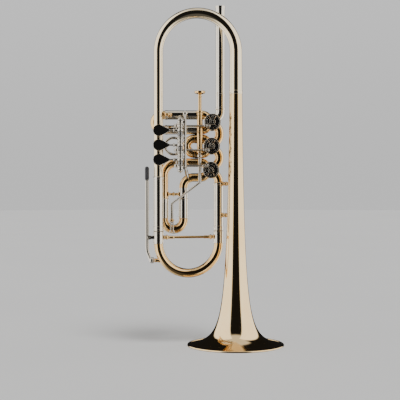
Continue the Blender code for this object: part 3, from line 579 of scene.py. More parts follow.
def make_main_tube():
    route = Route((LEFT_X, 0, BOW_Z), -Z, Y, MAIN_TUBE)
    route.go(BOW_Z - high("tuning_sleeve_left").z + 1)
    fine("main_tube", swept(route.stations, 40), "pale_brass")


def make_sleeves():
    """The two sleeves that the tuning slide's legs slide in."""
    edge = (SLEEVE[0] - 0.2, SLEEVE[1])
    for name in ("tuning_sleeve_left", "tuning_sleeve_right"):
        centre = middle(name)
        route = Route((centre.x, centre.y, high(name).z), -Z, Y, edge).go(0.2, SLEEVE).collar(3.4, 0.5)
        route.go(size(name).z - 10.0).collar(4.6, 0.35).go(1.6).go(0.2, edge)
        fine(name, swept(route.stations, 40))


def make_mouthpipe():
    """Down from the receiver, past a ring and a ferrule, and into valve 1."""
    bend = 10.0
    start = valve(1) + port_offset(PIPE_X - valve(1).x, 1, bend)
    top = high("mouthpipe").z
    route = Route((PIPE_X, VALVE_Y, top), -Z, Y, PIPE_TUBE).go(top - BELL_TOP - 2)
    route.collar(3.0, 0.35).go(BELL_TOP - start.z - 7.0).collar(4.0, 0.45).go(2.0)
    route.turn(45, bend).go(3)
    fine("mouthpipe", cut(swept(route.stations, 40), casing_envelope(1)))


def make_receiver():
    """The socket for the mouthpiece: a ringed foot, a waist and a gentle flare."""
    bottom, top, waist = low("mouthpiece_receiver").z, high("mouthpiece_receiver").z, 6.35
    foot = [(5.4, 0), (6.9, 0), (6.9, 1.2), (6.6, 1.6), (6.9, 2.0), (6.9, 3.2), (waist, 4.4)]
    profile = [(radius, bottom + height) for radius, height in foot]
    profile += [(waist + 0.75 * (k / 8) ** 2.2, top - 9.0 + 8.2 * k / 8) for k in range(9)]
    profile += [(7.1, top - 0.4), (7.0, top), (5.6, top), (5.0, bottom + 6)]
    fine("mouthpiece_receiver", turned(profile, (PIPE_X, VALVE_Y, 0), hollow=True, soft=0.2))


# ---- valves


def port_offset(reach, up, bend):
    """From a valve's centre to where an elbow, bent by 45 degrees, becomes straight along z."""
    return Vector((reach, 0, up * (reach + bend * (2 * COS_45 - 1))))


def casing_envelope(number):
    """The cylinder, just under the casing's surface, that a tube's end stops at."""
    centre, radius = valve(number), CASING_RADIUS - 0.6
    return turned([(0, -30), (radius, -30), (radius, 60), (0, 60)], (centre.x, 0, centre.z), Y, 64, soft=0)


def slide_elbow(number, up, radii, length):
    """A tube from inside the casing, out along a 45 degree port and on along -x."""
    out = Vector((-1, 0, up)).normalized()
    inset = CASING_BORE + 0.3
    bend_at = (LEG_OFFSET - PORT_BEND * (1 - COS_45)) / COS_45
    route = Route(valve(number) + out * inset, out, Y, radii)
    return route.go(bend_at - inset).turn(-45 * up, PORT_BEND).go(length)


def make_casing(number):
    """The casing with its screwed rings and four ports."""
    centre, outer = valve(number), CASING_RADIUS
    half = [(CASING_BORE, 0), (outer, 0), (outer, 2.4), (outer - 0.45, 2.6), (outer - 0.45, 3.2),
            (outer - 0.15, 3.4)]
    profile = half + mirror(half, CASING_BACK - CASING_FRONT)
    shell = turned(profile, (centre.x, CASING_FRONT, centre.z), Y, 72, hollow=True, soft=0.12)
    holes = []
    for side, up in ((1, 1), (1, -1), (-1, 1), (-1, -1)):
        out = Vector((side, 0, up)).normalized()
        holes.append(rod(centre + out * 6.5, centre + out * (outer + 3), PORT_RADIUS))
    fine(f"valve_casing_{number}", cut(shell, *holes))


def make_elbows(number):
    """The casing's two elbows on the slide side; valve 2's are long enough to be the slide's sleeves."""
    ends = (high("first_sleeve_upper").x, high("second_crook").x - SECOND_LAP, high("third_sleeve_left").x)
    radii = VALVE_SLEEVE if number == 2 else VALVE_TUBE
    for up, side in ((1, "upper"), (-1, "lower")):
        route = slide_elbow(number, up, radii, valve(number).x - ELBOW_REACH - ends[number - 1])
        elbow = cut(swept(route.stations), casing_envelope(number))
        show(f"elbow_{side}_{number}", elbow, f"valve_casing_{number}", "gold_brass")


def make_bearing_plate(number):
    """The front bearing plate with its screw ring, and the bumper holder with two corks."""
    node, centre, face = f"bearing_plate_{number}", valve(number), PLATE_FRONT
    inner, outer, thick = SHAFT_RADIUS + 0.3, CASING_RADIUS, CASING_FRONT - PLATE_FRONT
    profile = [(inner, 0), (9.5, 0), (9.6, 0.25), (9.8, 0.25), (9.9, 0), (outer - 0.4, 0), (outer, 0.4),
               (outer, thick), (inner, thick)]
    plate = turned(profile, (centre.x, face, centre.z), Y, 72, hollow=True, soft=0.12)
    up = -1 if number == 3 else 1

    def arc(radius, first, last, steps=12):
        angles = [radians(first + (last - first) * k / steps) for k in range(steps + 1)]
        return [(centre.x + radius * cos(a), centre.z + up * radius * sin(a)) for a in angles]

    clamp = slab(arc(8.9, 60, 120) + arc(5.1, 120, 60), face - 2.0, face + 0.3, 0.2)
    spot = Vector((centre.x, face - 2.4, centre.z + up * 7.0))
    screw = turned([(0, -0.3), (1.3, -0.3), (1.3, 0.5), (0, 0.7)], spot, -Y, 20)
    slot = block(spot - Vector((1.6, 1.0, 0.2)), spot + Vector((1.6, -0.35, 0.2)), 0.02)
    fine(node, union(plate, clamp, cut(screw, slot)))
    for side, start, turn in (("left", 126, -6), ("right", 54, 6)):
        outline = arc(8.7, start, start + turn, 4) + arc(5.3, start + turn, start, 4)
        show(f"bumper_cork_{side}_{number}", slab(outline, face - 1.7, face + 0.1, 0.15), node, "cork")


def make_rear_cap(number):
    """The cap behind the casing, with a dished face and a knurled rim."""
    centre, outer = valve(number), CASING_RADIUS
    at = Vector((centre.x, CASING_BACK, centre.z))
    profile = [(0, 0), (outer - 0.2, 0), (outer, 0.2), (outer, 0.5), (outer, 0.7), (outer, 1.9),
               (outer, 2.1), (outer - 0.2, 2.4), (outer - 1.0, 3.0), (9.2, 3.2), (8.8, 2.7), (5.4, 2.7),
               (5.0, 3.4), (1.0, 3.5), (0, 3.2)]
    fine(f"rear_cap_{number}", knurled(turned(profile, at, Y, KNURL_STEPS, soft=0), at, 0.6, 2.0))


def knurled(shape, at, first, last, depth=0.3):
    """Fine grooves along y round a rim: two in every four columns of points are pulled inward."""
    for vert in shape.verts:
        place = vert.co - at
        column = round(atan2(place.z, place.x) * KNURL_STEPS / (2 * pi))
        if first < place.y < last and column % 4 in (1, 2):
            vert.co -= Vector((place.x, 0, place.z)).normalized() * depth
    return shape


def port_bend(number, x):
    """Where the bend out of a valve's lower port becomes straight at x, and the stations down to there."""
    centre = valve(number)
    top = centre + port_offset(x - centre.x, -1, KNUCKLE_BEND)
    return top, backwards(Route(top, Z, Y, VALVE_TUBE).turn(-45, KNUCKLE_BEND).go(4))


def make_knuckles():
    """The short bends on the bell side: valve 1 to 2, 2 to 3, and 3 to the tuning slide."""
    for number in (1, 2):
        node, after = f"knuckle_{number}_{number + 1}", valve(number + 1)
        x = high(node).x - VALVE_TUBE[0]
        top, entry = port_bend(number, x)
        bottom = after + port_offset(x - after.x, 1, KNUCKLE_BEND)
        route = Route(top, -Z, Y, VALVE_TUBE).go(top.z - bottom.z).turn(45, KNUCKLE_BEND).go(4)
        tube = swept(entry + route.stations)
        fine(node, cut(tube, casing_envelope(number), casing_envelope(number + 1)))
    top, entry = port_bend(3, RIGHT_X)
    route = Route(top, -Z, Y, VALVE_TUBE).go(top.z - high("tuning_sleeve_right").z + 1.0)
    fine("knuckle_3_out", cut(swept(entry + route.stations), casing_envelope(3)))


def make_rotor(number):
    """The turning cylinder, with a curved passage on each side and a shaft at each end."""
    node, centre = f"rotor_{number}", valve(number)
    front, rear, outer = CASING_FRONT + 1.5, CASING_BACK - 1, 9.2
    profile = [(0, low(node).y), (1.4, low(node).y), (1.4, PLATE_FRONT), (SHAFT_RADIUS, PLATE_FRONT + 0.2),
               (SHAFT_RADIUS, front), (outer, front), (outer, rear), (SHAFT_RADIUS, rear),
               (SHAFT_RADIUS, high(node).y), (0, high(node).y)]
    core = turned(profile, (centre.x, 0, centre.z), Y)
    passages = [ring(centre + X * side * outer * 1.5, Y, outer, PORT_RADIUS) for side in (1, -1)]
    fine(node, cut(core, *passages))


def make_stop_arm(number):
    """A half disc on the rotor's shaft, its hub and screw, and the pin with the ball for the rod."""
    centre, spot = valve(number), pivot(f"rod_{number}_pivot")
    at, over = Vector((centre.x, 0, centre.z)), Vector((spot.x, 0, spot.z))
    front, back = low(f"rotor_{number}").y - 0.5, PLATE_FRONT - 0.3
    crank = atan2(spot.z - centre.z, spot.x - centre.x)
    edge = [crank + radians(a) for a in range(-88, 89, 4)]
    plate = slab([(at.x + 7.6 * cos(a), at.z + 7.6 * sin(a)) for a in edge], front, back, 0.2)
    hub = turned([(0, front - 1.3), (1.9, front - 1.3), (2.1, front - 1.1), (2.1, front - 0.7),
                  (3.9, front - 0.7), (4.2, front - 0.4), (4.2, back), (0, back)], at, Y, 40, soft=0.12)
    lobe = turned([(0, front - 0.3), (2.3, front - 0.3), (2.3, back - 0.1), (0, back - 0.1)], over, Y, 32)
    pin = rod(over + Y * front, spot - Y * 2.9, 0.9)
    head = turned([(0, -4.2), (1.1, -4.1), (1.6, -3.5), (1.6, -2.8), (0, -2.8)], spot, Y, 24)
    groove = block((at.x - 2.4, front - 1.8, at.z - 0.25), (at.x + 2.4, front - 1.0, at.z + 0.25), 0.02)
    arm = cut(union(plate, hub, lobe, pin, ball(spot, 2.0), head), groove)
    fine(f"stop_arm_{number}", cut(arm, rod(at + Y * (front - 0.2), at + Y * (back + 1), 1.7)))


# ---- valve slides


def slide_tube(start, heading, normal, leg, bow, reach, straight, width, step=5, edge=(0.3, 0.2)):
    """A thin leg, a rounded step up to the bow, a half turn as wide as width, and the same way back.

    A negative width turns the other way round the normal."""
    run, drop = edge
    small = (bow[0] - drop, bow[1])
    route = Route(start, heading, normal, leg).go(reach - 0.1).go(0.1, small).go(run, bow).go(straight)
    route.turn(copysign(180, width), abs(width) / 2, step=step)
    return route.go(straight).go(run, small).go(0.1, leg).go(reach - 0.1)


def make_slide(name, number, joint_x, reach):
    """A slide drawn out along -x, its legs inside their sleeves and its crook outside."""
    crook_x = low(name).x + VALVE_TUBE[0] + LEG_OFFSET
    start = Vector((joint_x + reach, VALVE_Y, valve(number).z + LEG_OFFSET))
    edge = (0.2, 0.15)
    route = slide_tube(start, -X, Y, VALVE_LEG, (VALVE_TUBE[0], VALVE_LEG[1]), reach,
                       joint_x - crook_x - edge[0], -2 * LEG_OFFSET, edge=edge)
    fine(name, swept(route.stations))


def make_first_slide():
    joint_x = low("first_sleeve_upper").x - 0.3
    for name, up in (("first_sleeve_upper", 1), ("first_sleeve_lower", -1)):
        start, end = high(name).x + 0.25, low(name).x
        route = Route((start, VALVE_Y, valve(1).z + up * LEG_OFFSET), -X, Y, VALVE_SLEEVE)
        route.collar(3.0, 0.35).go(start - end - 6.4).collar(3.2, 0.3).go(0.2, (6.15, 5.6))
        fine(name, swept(route.stations))
    make_slide("first_crook", 1, joint_x, 42.0)


def make_second_slide():
    make_slide("second_crook", 2, high("second_crook").x - SECOND_LAP, SECOND_LAP)


def make_third_branch(side, up, bend):
    """A gold bend from valve 3's elbow down to a sleeve; the right one ends in a nickel neck."""
    node = f"third_sleeve_{side}"
    x, start, top = low(node).x + SLEEVE[0], high(node).x + 0.3, low(node).z + THIRD_SLEEVE
    route = Route((start, VALVE_Y, valve(3).z + up * LEG_OFFSET), -X, Y, VALVE_TUBE)
    route.collar(2.4, 0.35).go(start - x - bend - 2.4).turn(-90, bend, step=4)
    if side == "left":
        route.go(route.place.z - top + 1)
    else:
        route.go(1.0)
        neck = Route(route.place + Z * 0.5, -Z, Y, (6.15, 5.3)).go(route.place.z - top + 1.5)
        show("third_neck_right", swept(neck.stations), node, "nickel_silver")
    show(f"third_bend_{side}", swept(route.stations), node, "gold_brass")
    sleeve = Route((x, VALVE_Y, top), -Z, Y, (SLEEVE[0] - 0.3, SLEEVE[1]))
    sleeve.go(0.3, SLEEVE).collar(2.6, 0.3).go(THIRD_SLEEVE - 6.2)
    sleeve.collar(2.9, 0.3).go(0.2, (SLEEVE[0] - 0.2, SLEEVE[1]))
    fine(node, swept(sleeve.stations))


def make_third_slide():
    """The two branches from valve 3, the crook below them and the small brace between them."""
    make_third_branch("left", 1, 17.8)
    make_third_branch("right", -1, 13.7)
    left, right = (low(f"third_sleeve_{side}").x + SLEEVE[0] for side in ("left", "right"))
    crook_top, reach = low("third_sleeve_left").z - 0.3, 26.0
    start = Vector((left, VALVE_Y, crook_top + reach))
    route = slide_tube(start, -Z, Y, SLIDE_LEG, SLIDE_BOW, reach, 0.9, left - right, step=4)
    fine("third_crook", swept(route.stations, 36))
    z = middle("third_slide_brace").z
    feet = Vector((left + VALVE_TUBE[0], VALVE_Y, z)), Vector((right - 6.1, VALVE_Y, z))
    fine("third_slide_brace", strut(*feet, 1.7, 3.5))


def strut(start, end, thin, thick):
    """A turned brace with flared feet, a bead near each foot and one in the middle."""
    half = (end - start).length / 2
    foot = [(0, 0), (thick, 0), (thick, 0.5), (thin + 0.5, 1.3), (thin, 2.2), (thin, 2.6),
            (thin + 0.7, 3.1), (thin, 3.7)]
    side = [(radius, along * min(1.0, half / 5.2)) for radius, along in foot]
    side.append((thin + 0.2, half - 1.5))
    profile = side + [(thick * 0.95, half)] + mirror(side, 2 * half)
    return turned(profile, start, end - start, 32, soft=0.5)


# ---- third slide's trigger


def make_trigger():
    """The thumb trigger of the third slide, round the plunger's upright axis."""
    axis = middle("trigger_plunger")
    spot = Vector((axis.x, axis.y, 0))
    make_trigger_guide(spot)
    make_plunger(spot)
    make_trigger_spring(spot)
    make_trigger_arm(spot)


def make_trigger_guide(spot):
    """The barrel that the plunger slides in, with an arm to each of the upper two valves."""
    bottom, long = low("trigger_guide").z, size("trigger_guide").z
    profile = [(2.7, 0), (3.9, 0), (4.2, 0.5), (4.2, 1.6), (3.9, 2.1), (3.9, long - 6.4), (4.2, long - 6.0),
               (4.2, long - 5.2), (3.9, long - 4.8), (3.9, long - 3.2), (4.5, long - 2.6),
               (4.5, long - 0.4), (4.1, long), (2.7, long), (2.7, long - 3), (3.35, long - 4), (3.35, 3),
               (2.7, 2)]
    barrel = turned(profile, spot + Z * bottom, hollow=True, soft=0.2)
    arms = []
    for number, z in ((1, bottom + long - 10.0), (2, bottom + 14.8)):
        centre = valve(number)
        reach = centre.x - sqrt(CASING_RADIUS ** 2 - (z - centre.z) ** 2) + 0.3 - spot.x - 3.6
        side = [(0, 0), (1.9, 0), (1.5, 1.6), (1.5, reach - 1.6), (2.3, reach), (0, reach)]
        arms.append(turned(side, (spot.x + 3.6, 7.5, z), X, 24))
    fine("trigger_guide", union(barrel, *arms))


def make_trigger_spring(spot):
    """The spring inside the barrel, squeezed as the slide is pushed out."""
    bottom, height = low("trigger_spring").z, size("trigger_spring").z
    spring = coil(spot + Z * (bottom + 0.4), 2.6, 0.36, 9, height - 0.8)
    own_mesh(fine("trigger_spring", spring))


def make_plunger(spot):
    """The push rod: a dished thumb disc, a shoulder over the spring, a thin neck and a stop collar."""
    disc = spot + Z * high("trigger_plunger").z
    bottom, collar, neck, shoulder = -size("trigger_plunger").z, -89.5, -83.0, -49.0
    lower = [(0, bottom), (2.3, bottom), (2.3, collar - 2.5), (3.4, collar - 1.5), (3.4, collar + 1.5),
             (2.3, collar + 2.5), (2.3, neck - 1), (1.6, neck), (1.6, shoulder + 0.1), (0, shoulder + 0.1)]
    fine("trigger_plunger", turned(lower, disc, soft=0.35))
    upper = [(0, shoulder), (3.0, shoulder + 0.3), (3.0, shoulder + 3), (2.3, shoulder + 4), (2.3, -9),
             (2.7, -8.6), (2.7, -7.8), (2.3, -7), (2.2, -5.6), (3.0, -4.4), (6.4, -3.6), (7.4, -2.9),
             (7.4, -0.5), (6.9, 0), (6.0, -0.1), (3.0, -0.9), (0, -1.2)]
    show("thumb_piece", turned(upper, disc, soft=0.35), "trigger_plunger", "gold_brass")


def trigger_blade(top, bottom):
    """A flat bar that widens downward."""
    angles = [2 * pi * k / 16 for k in range(16)]
    loops = []
    for share, half, thick in ((0, 1.4, 1.0), (0.12, 1.7, 1.15), (0.5, 1.9, 1.2), (1, 2.2, 1.2)):
        centre = top.lerp(bottom, share)
        loops.append([centre + X * half * cos(a) + Y * thick * sin(a) for a in angles])
    return lofted(loops)


def make_trigger_arm(spot):
    """The knob and wire under the plunger, the blade and its gold cross fitting."""
    top = high("trigger_arm").z
    blade = Vector((low("trigger_arm").x + 3.2, VALVE_Y - 8.4, 0))
    elbow, collar = blade + Z * (top - 29.8), blade + Z * (top - 52.8)
    knob = turned([(0, -1.8), (1.2, -1.8), (2.0, -1.2), (2.0, -0.2), (0, -0.2)], spot + Z * top, Z, 24)
    wire = rod(spot + Z * (top - 0.4), elbow, 1.35)
    fine("trigger_arm", union(trigger_blade(elbow + Z, collar), wire, ball(elbow, 1.5), knob))
    half = [(0, -3.2), (1.2, -3.2), (1.5, -2.0), (1.9, -1.2)]
    cross = turned(half + mirror(half), collar, X, 28)
    upright = rod(collar - Z * 2.0, collar + Z * 2.4, 1.7)
    show("trigger_cross", union(cross, upright), "trigger_arm", "gold_brass")
    make_trigger_fork(blade, collar, blade + Z * (top - 66.4))


def make_trigger_fork(blade, collar, knee):
    """Two prongs from the cross fitting, splayed to flat feet on the third crook."""
    foot_z = low("trigger_arm").z + 0.9
    prongs = []
    for side in (-1.6, 1.6):
        bend, foot = knee + X * side, Vector((blade.x + side * 1.6, blade.y + 1.4, foot_z))
        prongs += [rod(collar + X * side - Z, bend, 0.85), rod(bend + Z * 0.6, foot, 0.85, 20, 1.6)]
    bar_at = collar - Z * 3.2
    bar = rod(bar_at - X * 1.6, bar_at + X * 1.6, 0.7)
    show("trigger_fork", union(bar, *prongs), "trigger_arm", "silver")


# ---- finger levers


def lever_barrel(spot):
    """A hinge barrel with a ring at each end, a bead in the middle and one above it."""
    half, bore, thin, thick = BARREL_HALF, 1.9, 2.7, 4.5
    neck = thin + 0.3
    profile = [(bore, -half), (thick - 0.3, -half), (thick, 0.7 - half), (thick - 0.3, 1.4 - half),
               (thin, 1.9 - half), (thin, -2.0), (thick - 0.5, -1.5), (thick + 0.2, 0), (thick - 0.5, 1.5),
               (neck, 2.1), (neck, 3.4), (thick - 0.4, 4.0), (thick - 0.2, 4.6), (thick - 0.4, 5.2),
               (neck, 5.8), (neck, half - 2.0), (thick - 0.3, half - 1.5), (thick, half - 0.8),
               (thick - 0.3, half), (bore, half)]
    return turned(profile, spot, hollow=True, soft=0.35)


def make_lever(number):
    """A hinge barrel, a finger arm with its plate, a crank arm back to the rod, and the pin."""
    spot, eye = pivot(f"lever_{number}_press"), rest_eye(number)
    lean = radians(10)
    out = Vector((-cos(lean), -sin(lean), 0))
    arm = turned([(0, 0), (1.9, 0), (1.5, 3.0), (1.15, 5.0), (1.1, 11.0), (0.7, 13.5), (0, 13.6)],
                 spot + out * 3, out, 24)
    half = [(0, -1.1), (1.9, -1.1), (2.4, -0.5)]
    collar = turned(half + mirror(half), spot + out * 8.8, out, 28)
    end = Vector((eye.x, eye.y, spot.z))
    back, length = (end - spot).normalized(), (end - spot).length
    crank = turned([(0, 0), (2.0, 0), (1.4, length - 5), (0, length - 3)], spot + back * 3, back, 24)
    pin = rod(end, eye + Z * (3.2 if number == 1 else -3.2), 0.8)
    plate = finger_plate(spot + out * PLATE_REACH, out)
    fine(f"lever_{number}", union(lever_barrel(spot), arm, collar, plate, crank, ball(end, 1.7), pin))
    spring = coil(spot + Z * (2.4 - BARREL_HALF), 3.45, 0.36, 6, BARREL_HALF - 4.8)
    fine(f"lever_spring_{number}", spring)


def rest_eye(number):
    """Where the eye of a connecting rod hangs on its lever's pin at rest."""
    joint = pivot(f"rod_{number}_pivot")
    return Vector((low(f"connecting_rod_{number}").x + 3.3, joint.y, joint.z))


def finger_plate(centre, out):
    """A teardrop plate with a dished face, a rounded rim and a tail that runs into the arm."""
    radius, tail, tail_half, swing = 7.7, 15.0, 1.4, 108
    angles = [radians(-swing + 2 * swing * k / 44) for k in range(45)]
    outline = [(radius * cos(a), radius * sin(a)) for a in angles]
    x, half = outline[-1]
    side = []
    for k in range(1, 11):
        t = k / 10
        narrowing = 0.75 * t + 0.55 * t ** 2 - 0.3 * t ** 3
        side.append((x - (tail + x) * t, half + (tail_half - half) * narrowing))
    outline += side + [(along, -across) for along, across in reversed(side)]
    # Each level is the outline's scale and its depth; the plate's -y faces the fingers.
    levels = ((0.5, 0.8), (0.93, 0.8), (0.985, 0.62), (1.0, 0.3), (1.0, -0.3), (0.985, -0.65),
              (0.95, -0.85), (0.90, -0.8), (0.8, -0.66), (0.6, -0.52), (0.3, -0.45))
    shape = lofted([[(x * scale, depth, z * scale) for x, z in outline] for scale, depth in levels])
    facing = Matrix((out, Z.cross(out), Z)).transposed().to_4x4()
    shape.transform(Matrix.Translation(centre) @ facing)
    return shape


def make_lever_axle(spot, bottom, top):
    """The rod through the three barrels, with a finial at each end."""
    finial = [(0, 0), (1.0, 0.1), (1.5, 0.7), (1.2, 1.2), (2.6, 1.6), (3.7, 2.6), (3.9, 3.2), (3.4, 4.2),
              (2.3, 4.8), (1.6, 5.2)]
    half = [(radius, bottom + height) for radius, height in finial]
    fine("lever_axle", turned(half + mirror(half, bottom + top), spot, soft=0.3))


def make_lever_stand():
    """The levers' axle, and the wavy post that carries it, with arms to the first and third slides."""
    axle, bottom, top = pivot("lever_1_press"), low("lever_axle").z, high("lever_axle").z
    make_lever_axle(Vector((axle.x, axle.y, 0)), bottom, top)
    post = Vector((axle.x + 6.3, axle.y + 3.0, 0))
    length, steps = high("lever_post").z - bottom - 9.2, 54
    wavy = [(1.55 + 0.4 * sin(pi * k / 6) ** 2, 0.6 + (length - 1.2) * k / steps) for k in range(steps + 1)]
    profile = [(0, 0), (1.2, 0)] + wavy + [(1.2, length), (0, length)]
    pieces = [turned(profile, post + Z * (bottom + 7.8), Z, 32, soft=0)]
    lug = 3.0
    half = [(1.9, 0), (3.8, 0), (4.0, 0.8)]
    for z in (top - 8.2, bottom + 5.1):
        pieces.append(turned(half + mirror(half, lug), (axle.x, axle.y, z), hollow=True))
        corners = (axle.x + 2.6, post.y - 1.6, z + 0.1), (post.x, post.y + 1.6, z + lug - 0.1)
        pieces.append(block(*corners, 0.3))
    reach = VALVE_Y - VALVE_SLEEVE[0] - post.y + 1.2
    foot = [(0, -0.6), (1.4, -0.4), (2.6, 0.5), (3.3, 2.0), (3.1, 3.4), (2.2, 4.8), (2.1, 6.0), (2.1, 24.0),
            (2.4, 28.0), (3.3, 32.0), (4.5, reach), (0, reach)]
    pieces.append(turned(foot, (post.x, post.y - 1.7, valve(1).z + LEG_OFFSET), Y, 32))
    end = Vector((post.x + 3.3, VALVE_Y - VALVE_TUBE[0] + 0.4, valve(3).z - LEG_OFFSET - 0.5))
    pieces.append(rod(post + Z * (bottom + 9.0), end, 2.0, 24, 2.6))
    fine("lever_post", union(*pieces))


def make_connecting_rod(number):
    """From the socket on the stop arm's ball to the eye that rides on its lever's pin."""
    ball_at, eye = pivot(f"rod_{number}_pivot"), rest_eye(number)
    length = (eye - ball_at).length
    stem = turned([(0, 2.2), (1.7, 2.2), (1.7, 5.2), (1.2, 5.8), (1.2, length - 7.5), (1.6, length - 7.0),
                   (1.6, length - 4.6), (1.2, length - 4.2), (1.2, length - 2.3), (0, length - 2.3)],
                  ball_at, eye - ball_at, 24)
    half = [(2.25, -1.9), (2.7, -1.9), (3.0, -1.4)]
    socket = turned(half + mirror(half), ball_at, Y, 36, hollow=True)
    half = [(2.1, -1.9), (2.9, -1.9), (3.3, -1.3)]
    loop = turned(half + mirror(half), eye, Z, 36, hollow=True)
    fine(f"connecting_rod_{number}", union(stem, socket, loop))


def make_thumb_ring():
    """The ring for the thumb, on a short foot at the main tube."""
    node, wire = "thumb_ring", 1.8
    outer, spot = size(node).z / 2, middle(node)
    centre = Vector((high(node).x - outer, spot.y, spot.z))
    start = Vector((LEFT_X + MAIN_TUBE[0] - 0.2, spot.y, spot.z))
    long = centre.x - outer + wire - start.x
    foot = [(0, 0), (3.2, 0), (3.2, 0.8), (2.2, 1.6), (2.2, long - 1.0), (2.6, long), (0, long)]
    fine(node, union(ring(centre, Y, outer - wire, wire), turned(foot, start, X, 28)))


# ---- braces


def make_bell_braces():
    """Two braces from the right-hand sleeve of the tuning slide to the bell."""
    for name in ("bell_brace_upper", "bell_brace_lower"):
        z = middle(name).z
        start, end = Vector((RIGHT_X, VALVE_Y, z)), Vector((BELL_X, 0, z))
        way = (end - start).normalized()
        fine(name, strut(start + way * (SLEEVE[0] - 0.4), end - way * (bell_radius(z) - 0.6), 2.0, 3.5))


def make_tube_brace():
    """From the main tube, round a corner and back to the first slide's upper sleeve."""
    thin, flange, bend = (1.9, 0), (3.4, 0), 3.0
    start = Vector((LEFT_X + MAIN_TUBE[0] - 0.2, 0, valve(1).z + LEG_OFFSET))
    route = Route(start, X, Z, flange).go(0.7).go(0.7, thin).go(0.4).bulge(2.6, 1.5)
    route.go(high("tube_brace").x - 3.2 - bend - route.place.x).turn(90, bend, step=10)
    route.go(VALVE_Y - VALVE_SLEEVE[0] - bend - 1.6).go(0.8, (3.0, 0)).go(1.0, flange)
    fine("tube_brace", swept(route.stations, 28))


# ---- tuning slide and water key


def make_tuning_slide():
    """The legs and bow, leaning from the bell's plane on the left to the valves' on the right."""
    left, right = Vector((LEFT_X, 0, 0)), Vector((RIGHT_X, VALVE_Y, 0))
    over, width = (right - left).normalized(), (right - left).length
    joint, reach, straight = low("tuning_sleeve_left").z - 0.3, 60.0, 15.7
    route = slide_tube(left + Z * (joint + reach), -Z, over.cross(Z), SLIDE_LEG, SLIDE_BOW, reach, straight,
                       width, step=3)
    pad = middle("water_key_pad")
    mouth = Vector((high("water_key_pad").x + 0.3, pad.y, pad.z))
    nipple = [(0, 0), (2.7, 0), (3.0, 0.5), (2.6, 1.2), (2.6, 4.0), (3.4, 7.0), (0, 8.0)]
    drain = rod(mouth - X, mouth + X * 10, 1.4)
    fine("tuning_bow", cut(union(swept(route.stations, 36), turned(nipple, mouth, X, 32)), drain))
    make_ferrules(left, right)
    make_tuning_brace(left + over * (FERRULE[0] - 0.2), right - over * (FERRULE[0] - 0.2))


def make_ferrules(left, right):
    """The collars on the slide's legs; the left one carries the water key's hinge."""
    for name, spot in (("ferrule_left", left), ("ferrule_right", right)):
        route = Route(spot + Z * high(name).z, -Z, Y, (FERRULE[0] - 0.3, FERRULE[1])).go(0.3, FERRULE)
        route.collar(2.2, 0.25).go(size(name).z - 5.0).collar(2.0, 0.25)
        shape = swept(route.go(0.3, (FERRULE[0] - 0.35, FERRULE[1])).stations, 40)
        if name == "ferrule_left":
            bore = rod(spot + Z * (low(name).z - 2), spot + Z * (high(name).z + 2), FERRULE[1], 40)
            shape = cut(union(shape, *hinge_ears()), bore)
        fine(name, shape)


def hinge_ears():
    """The two ears on the left ferrule, and the pin between them."""
    hinge = pivot("water_key_press")
    ears = [rod(hinge - Y * 5.2, hinge + Y * 5.2, 0.9)]
    for low_y, high_y in ((-4.6, -3.4), (3.4, 4.6)):
        ears.append(block((hinge.x, low_y, hinge.z - 2.0), (LEFT_X - 4, high_y, hinge.z + 2.0), 0.3))
        ears.append(rod(hinge + Y * low_y, hinge + Y * high_y, 2.5, 28))
    return ears


def make_tuning_brace(start, end):
    """A thin rod with a sleeve, a ball and a flange at each end."""
    foot = [(0, 0), (3.3, 0), (3.3, 0.6), (2.0, 1.6), (2.3, 2.4), (3.2, 3.2), (3.4, 4.2), (3.2, 5.2),
            (2.3, 5.9), (2.5, 6.4), (2.5, 7.0), (2.2, 7.4), (2.2, 13.5), (1.75, 14.5)]
    profile = foot + mirror(foot, (end - start).length)
    fine("tuning_brace", turned(profile, start + Z * middle("tuning_brace").z, end - start, 32, soft=0.3))


def water_key_bar(bar_x, top, cup_x, pad_z):
    """The lever's long bar: straight down from the tip, then bent in towards the cup."""
    lean, bend = radians(20), 25.0
    slope = (cup_x - 1.8 - bar_x - bend * (1 - cos(lean))) / sin(lean)
    bend_z = pad_z + 0.6 + slope * cos(lean) + bend * sin(lean)
    route = Route((bar_x, 0, top - 2), -Z, Y, (1.6, 0)).go(17.0).go(0.5, (2.3, 0)).go(30, (2.5, 0))
    route.go(route.place.z - bend_z, (2.4, 0)).turn(-20, bend, (2.2, 0), step=2).go(slope, (2.0, 0))
    return swept(route.stations, 28, flat=0.8)


def make_water_key_lever(hinge, pad, bar_x, top):
    """The bar, its hinge with room for the spring, and the domed cup that holds the cork."""
    dome, cup_x = 4.1, low("water_key_pad").x + 1.4
    bowl = [(dome * cos(radians(a)), dome * sin(radians(a))) for a in range(-75, 1, 15)]
    bowl = [(0, -dome)] + bowl + [(dome, 1.2), (4.3, 1.6), (4.3, 2.1), (3.9, 2.4), (3.4, 2.3), (3.4, -1.2),
                                  (0, -1.2)]
    cup = turned(bowl, (cup_x, pad.y, pad.z), X, 40, soft=0.15)
    hub = rod(hinge - Y * 3.1, hinge - Y * 0.2, 2.6, 32)
    curl = turned([(1.25, -3.2), (2.9, -3.2), (2.9, -2.2), (1.25, -2.2)], hinge, Y, 32, hollow=True)
    hole = rod(hinge - Y * 5, hinge + Y * 5, 1.2)
    bridge = block((bar_x, -2.2, hinge.z - 1.7), (hinge.x - 1.6, -0.4, hinge.z + 1.7), 0.4)
    room = rod(hinge - Y * 0.1, hinge + Y * 3.2, 2.9)
    bar = water_key_bar(bar_x, top, cup_x, pad.z)
    fine("water_key_lever", cut(union(bar, cup, bridge, hub, curl), hole, room))


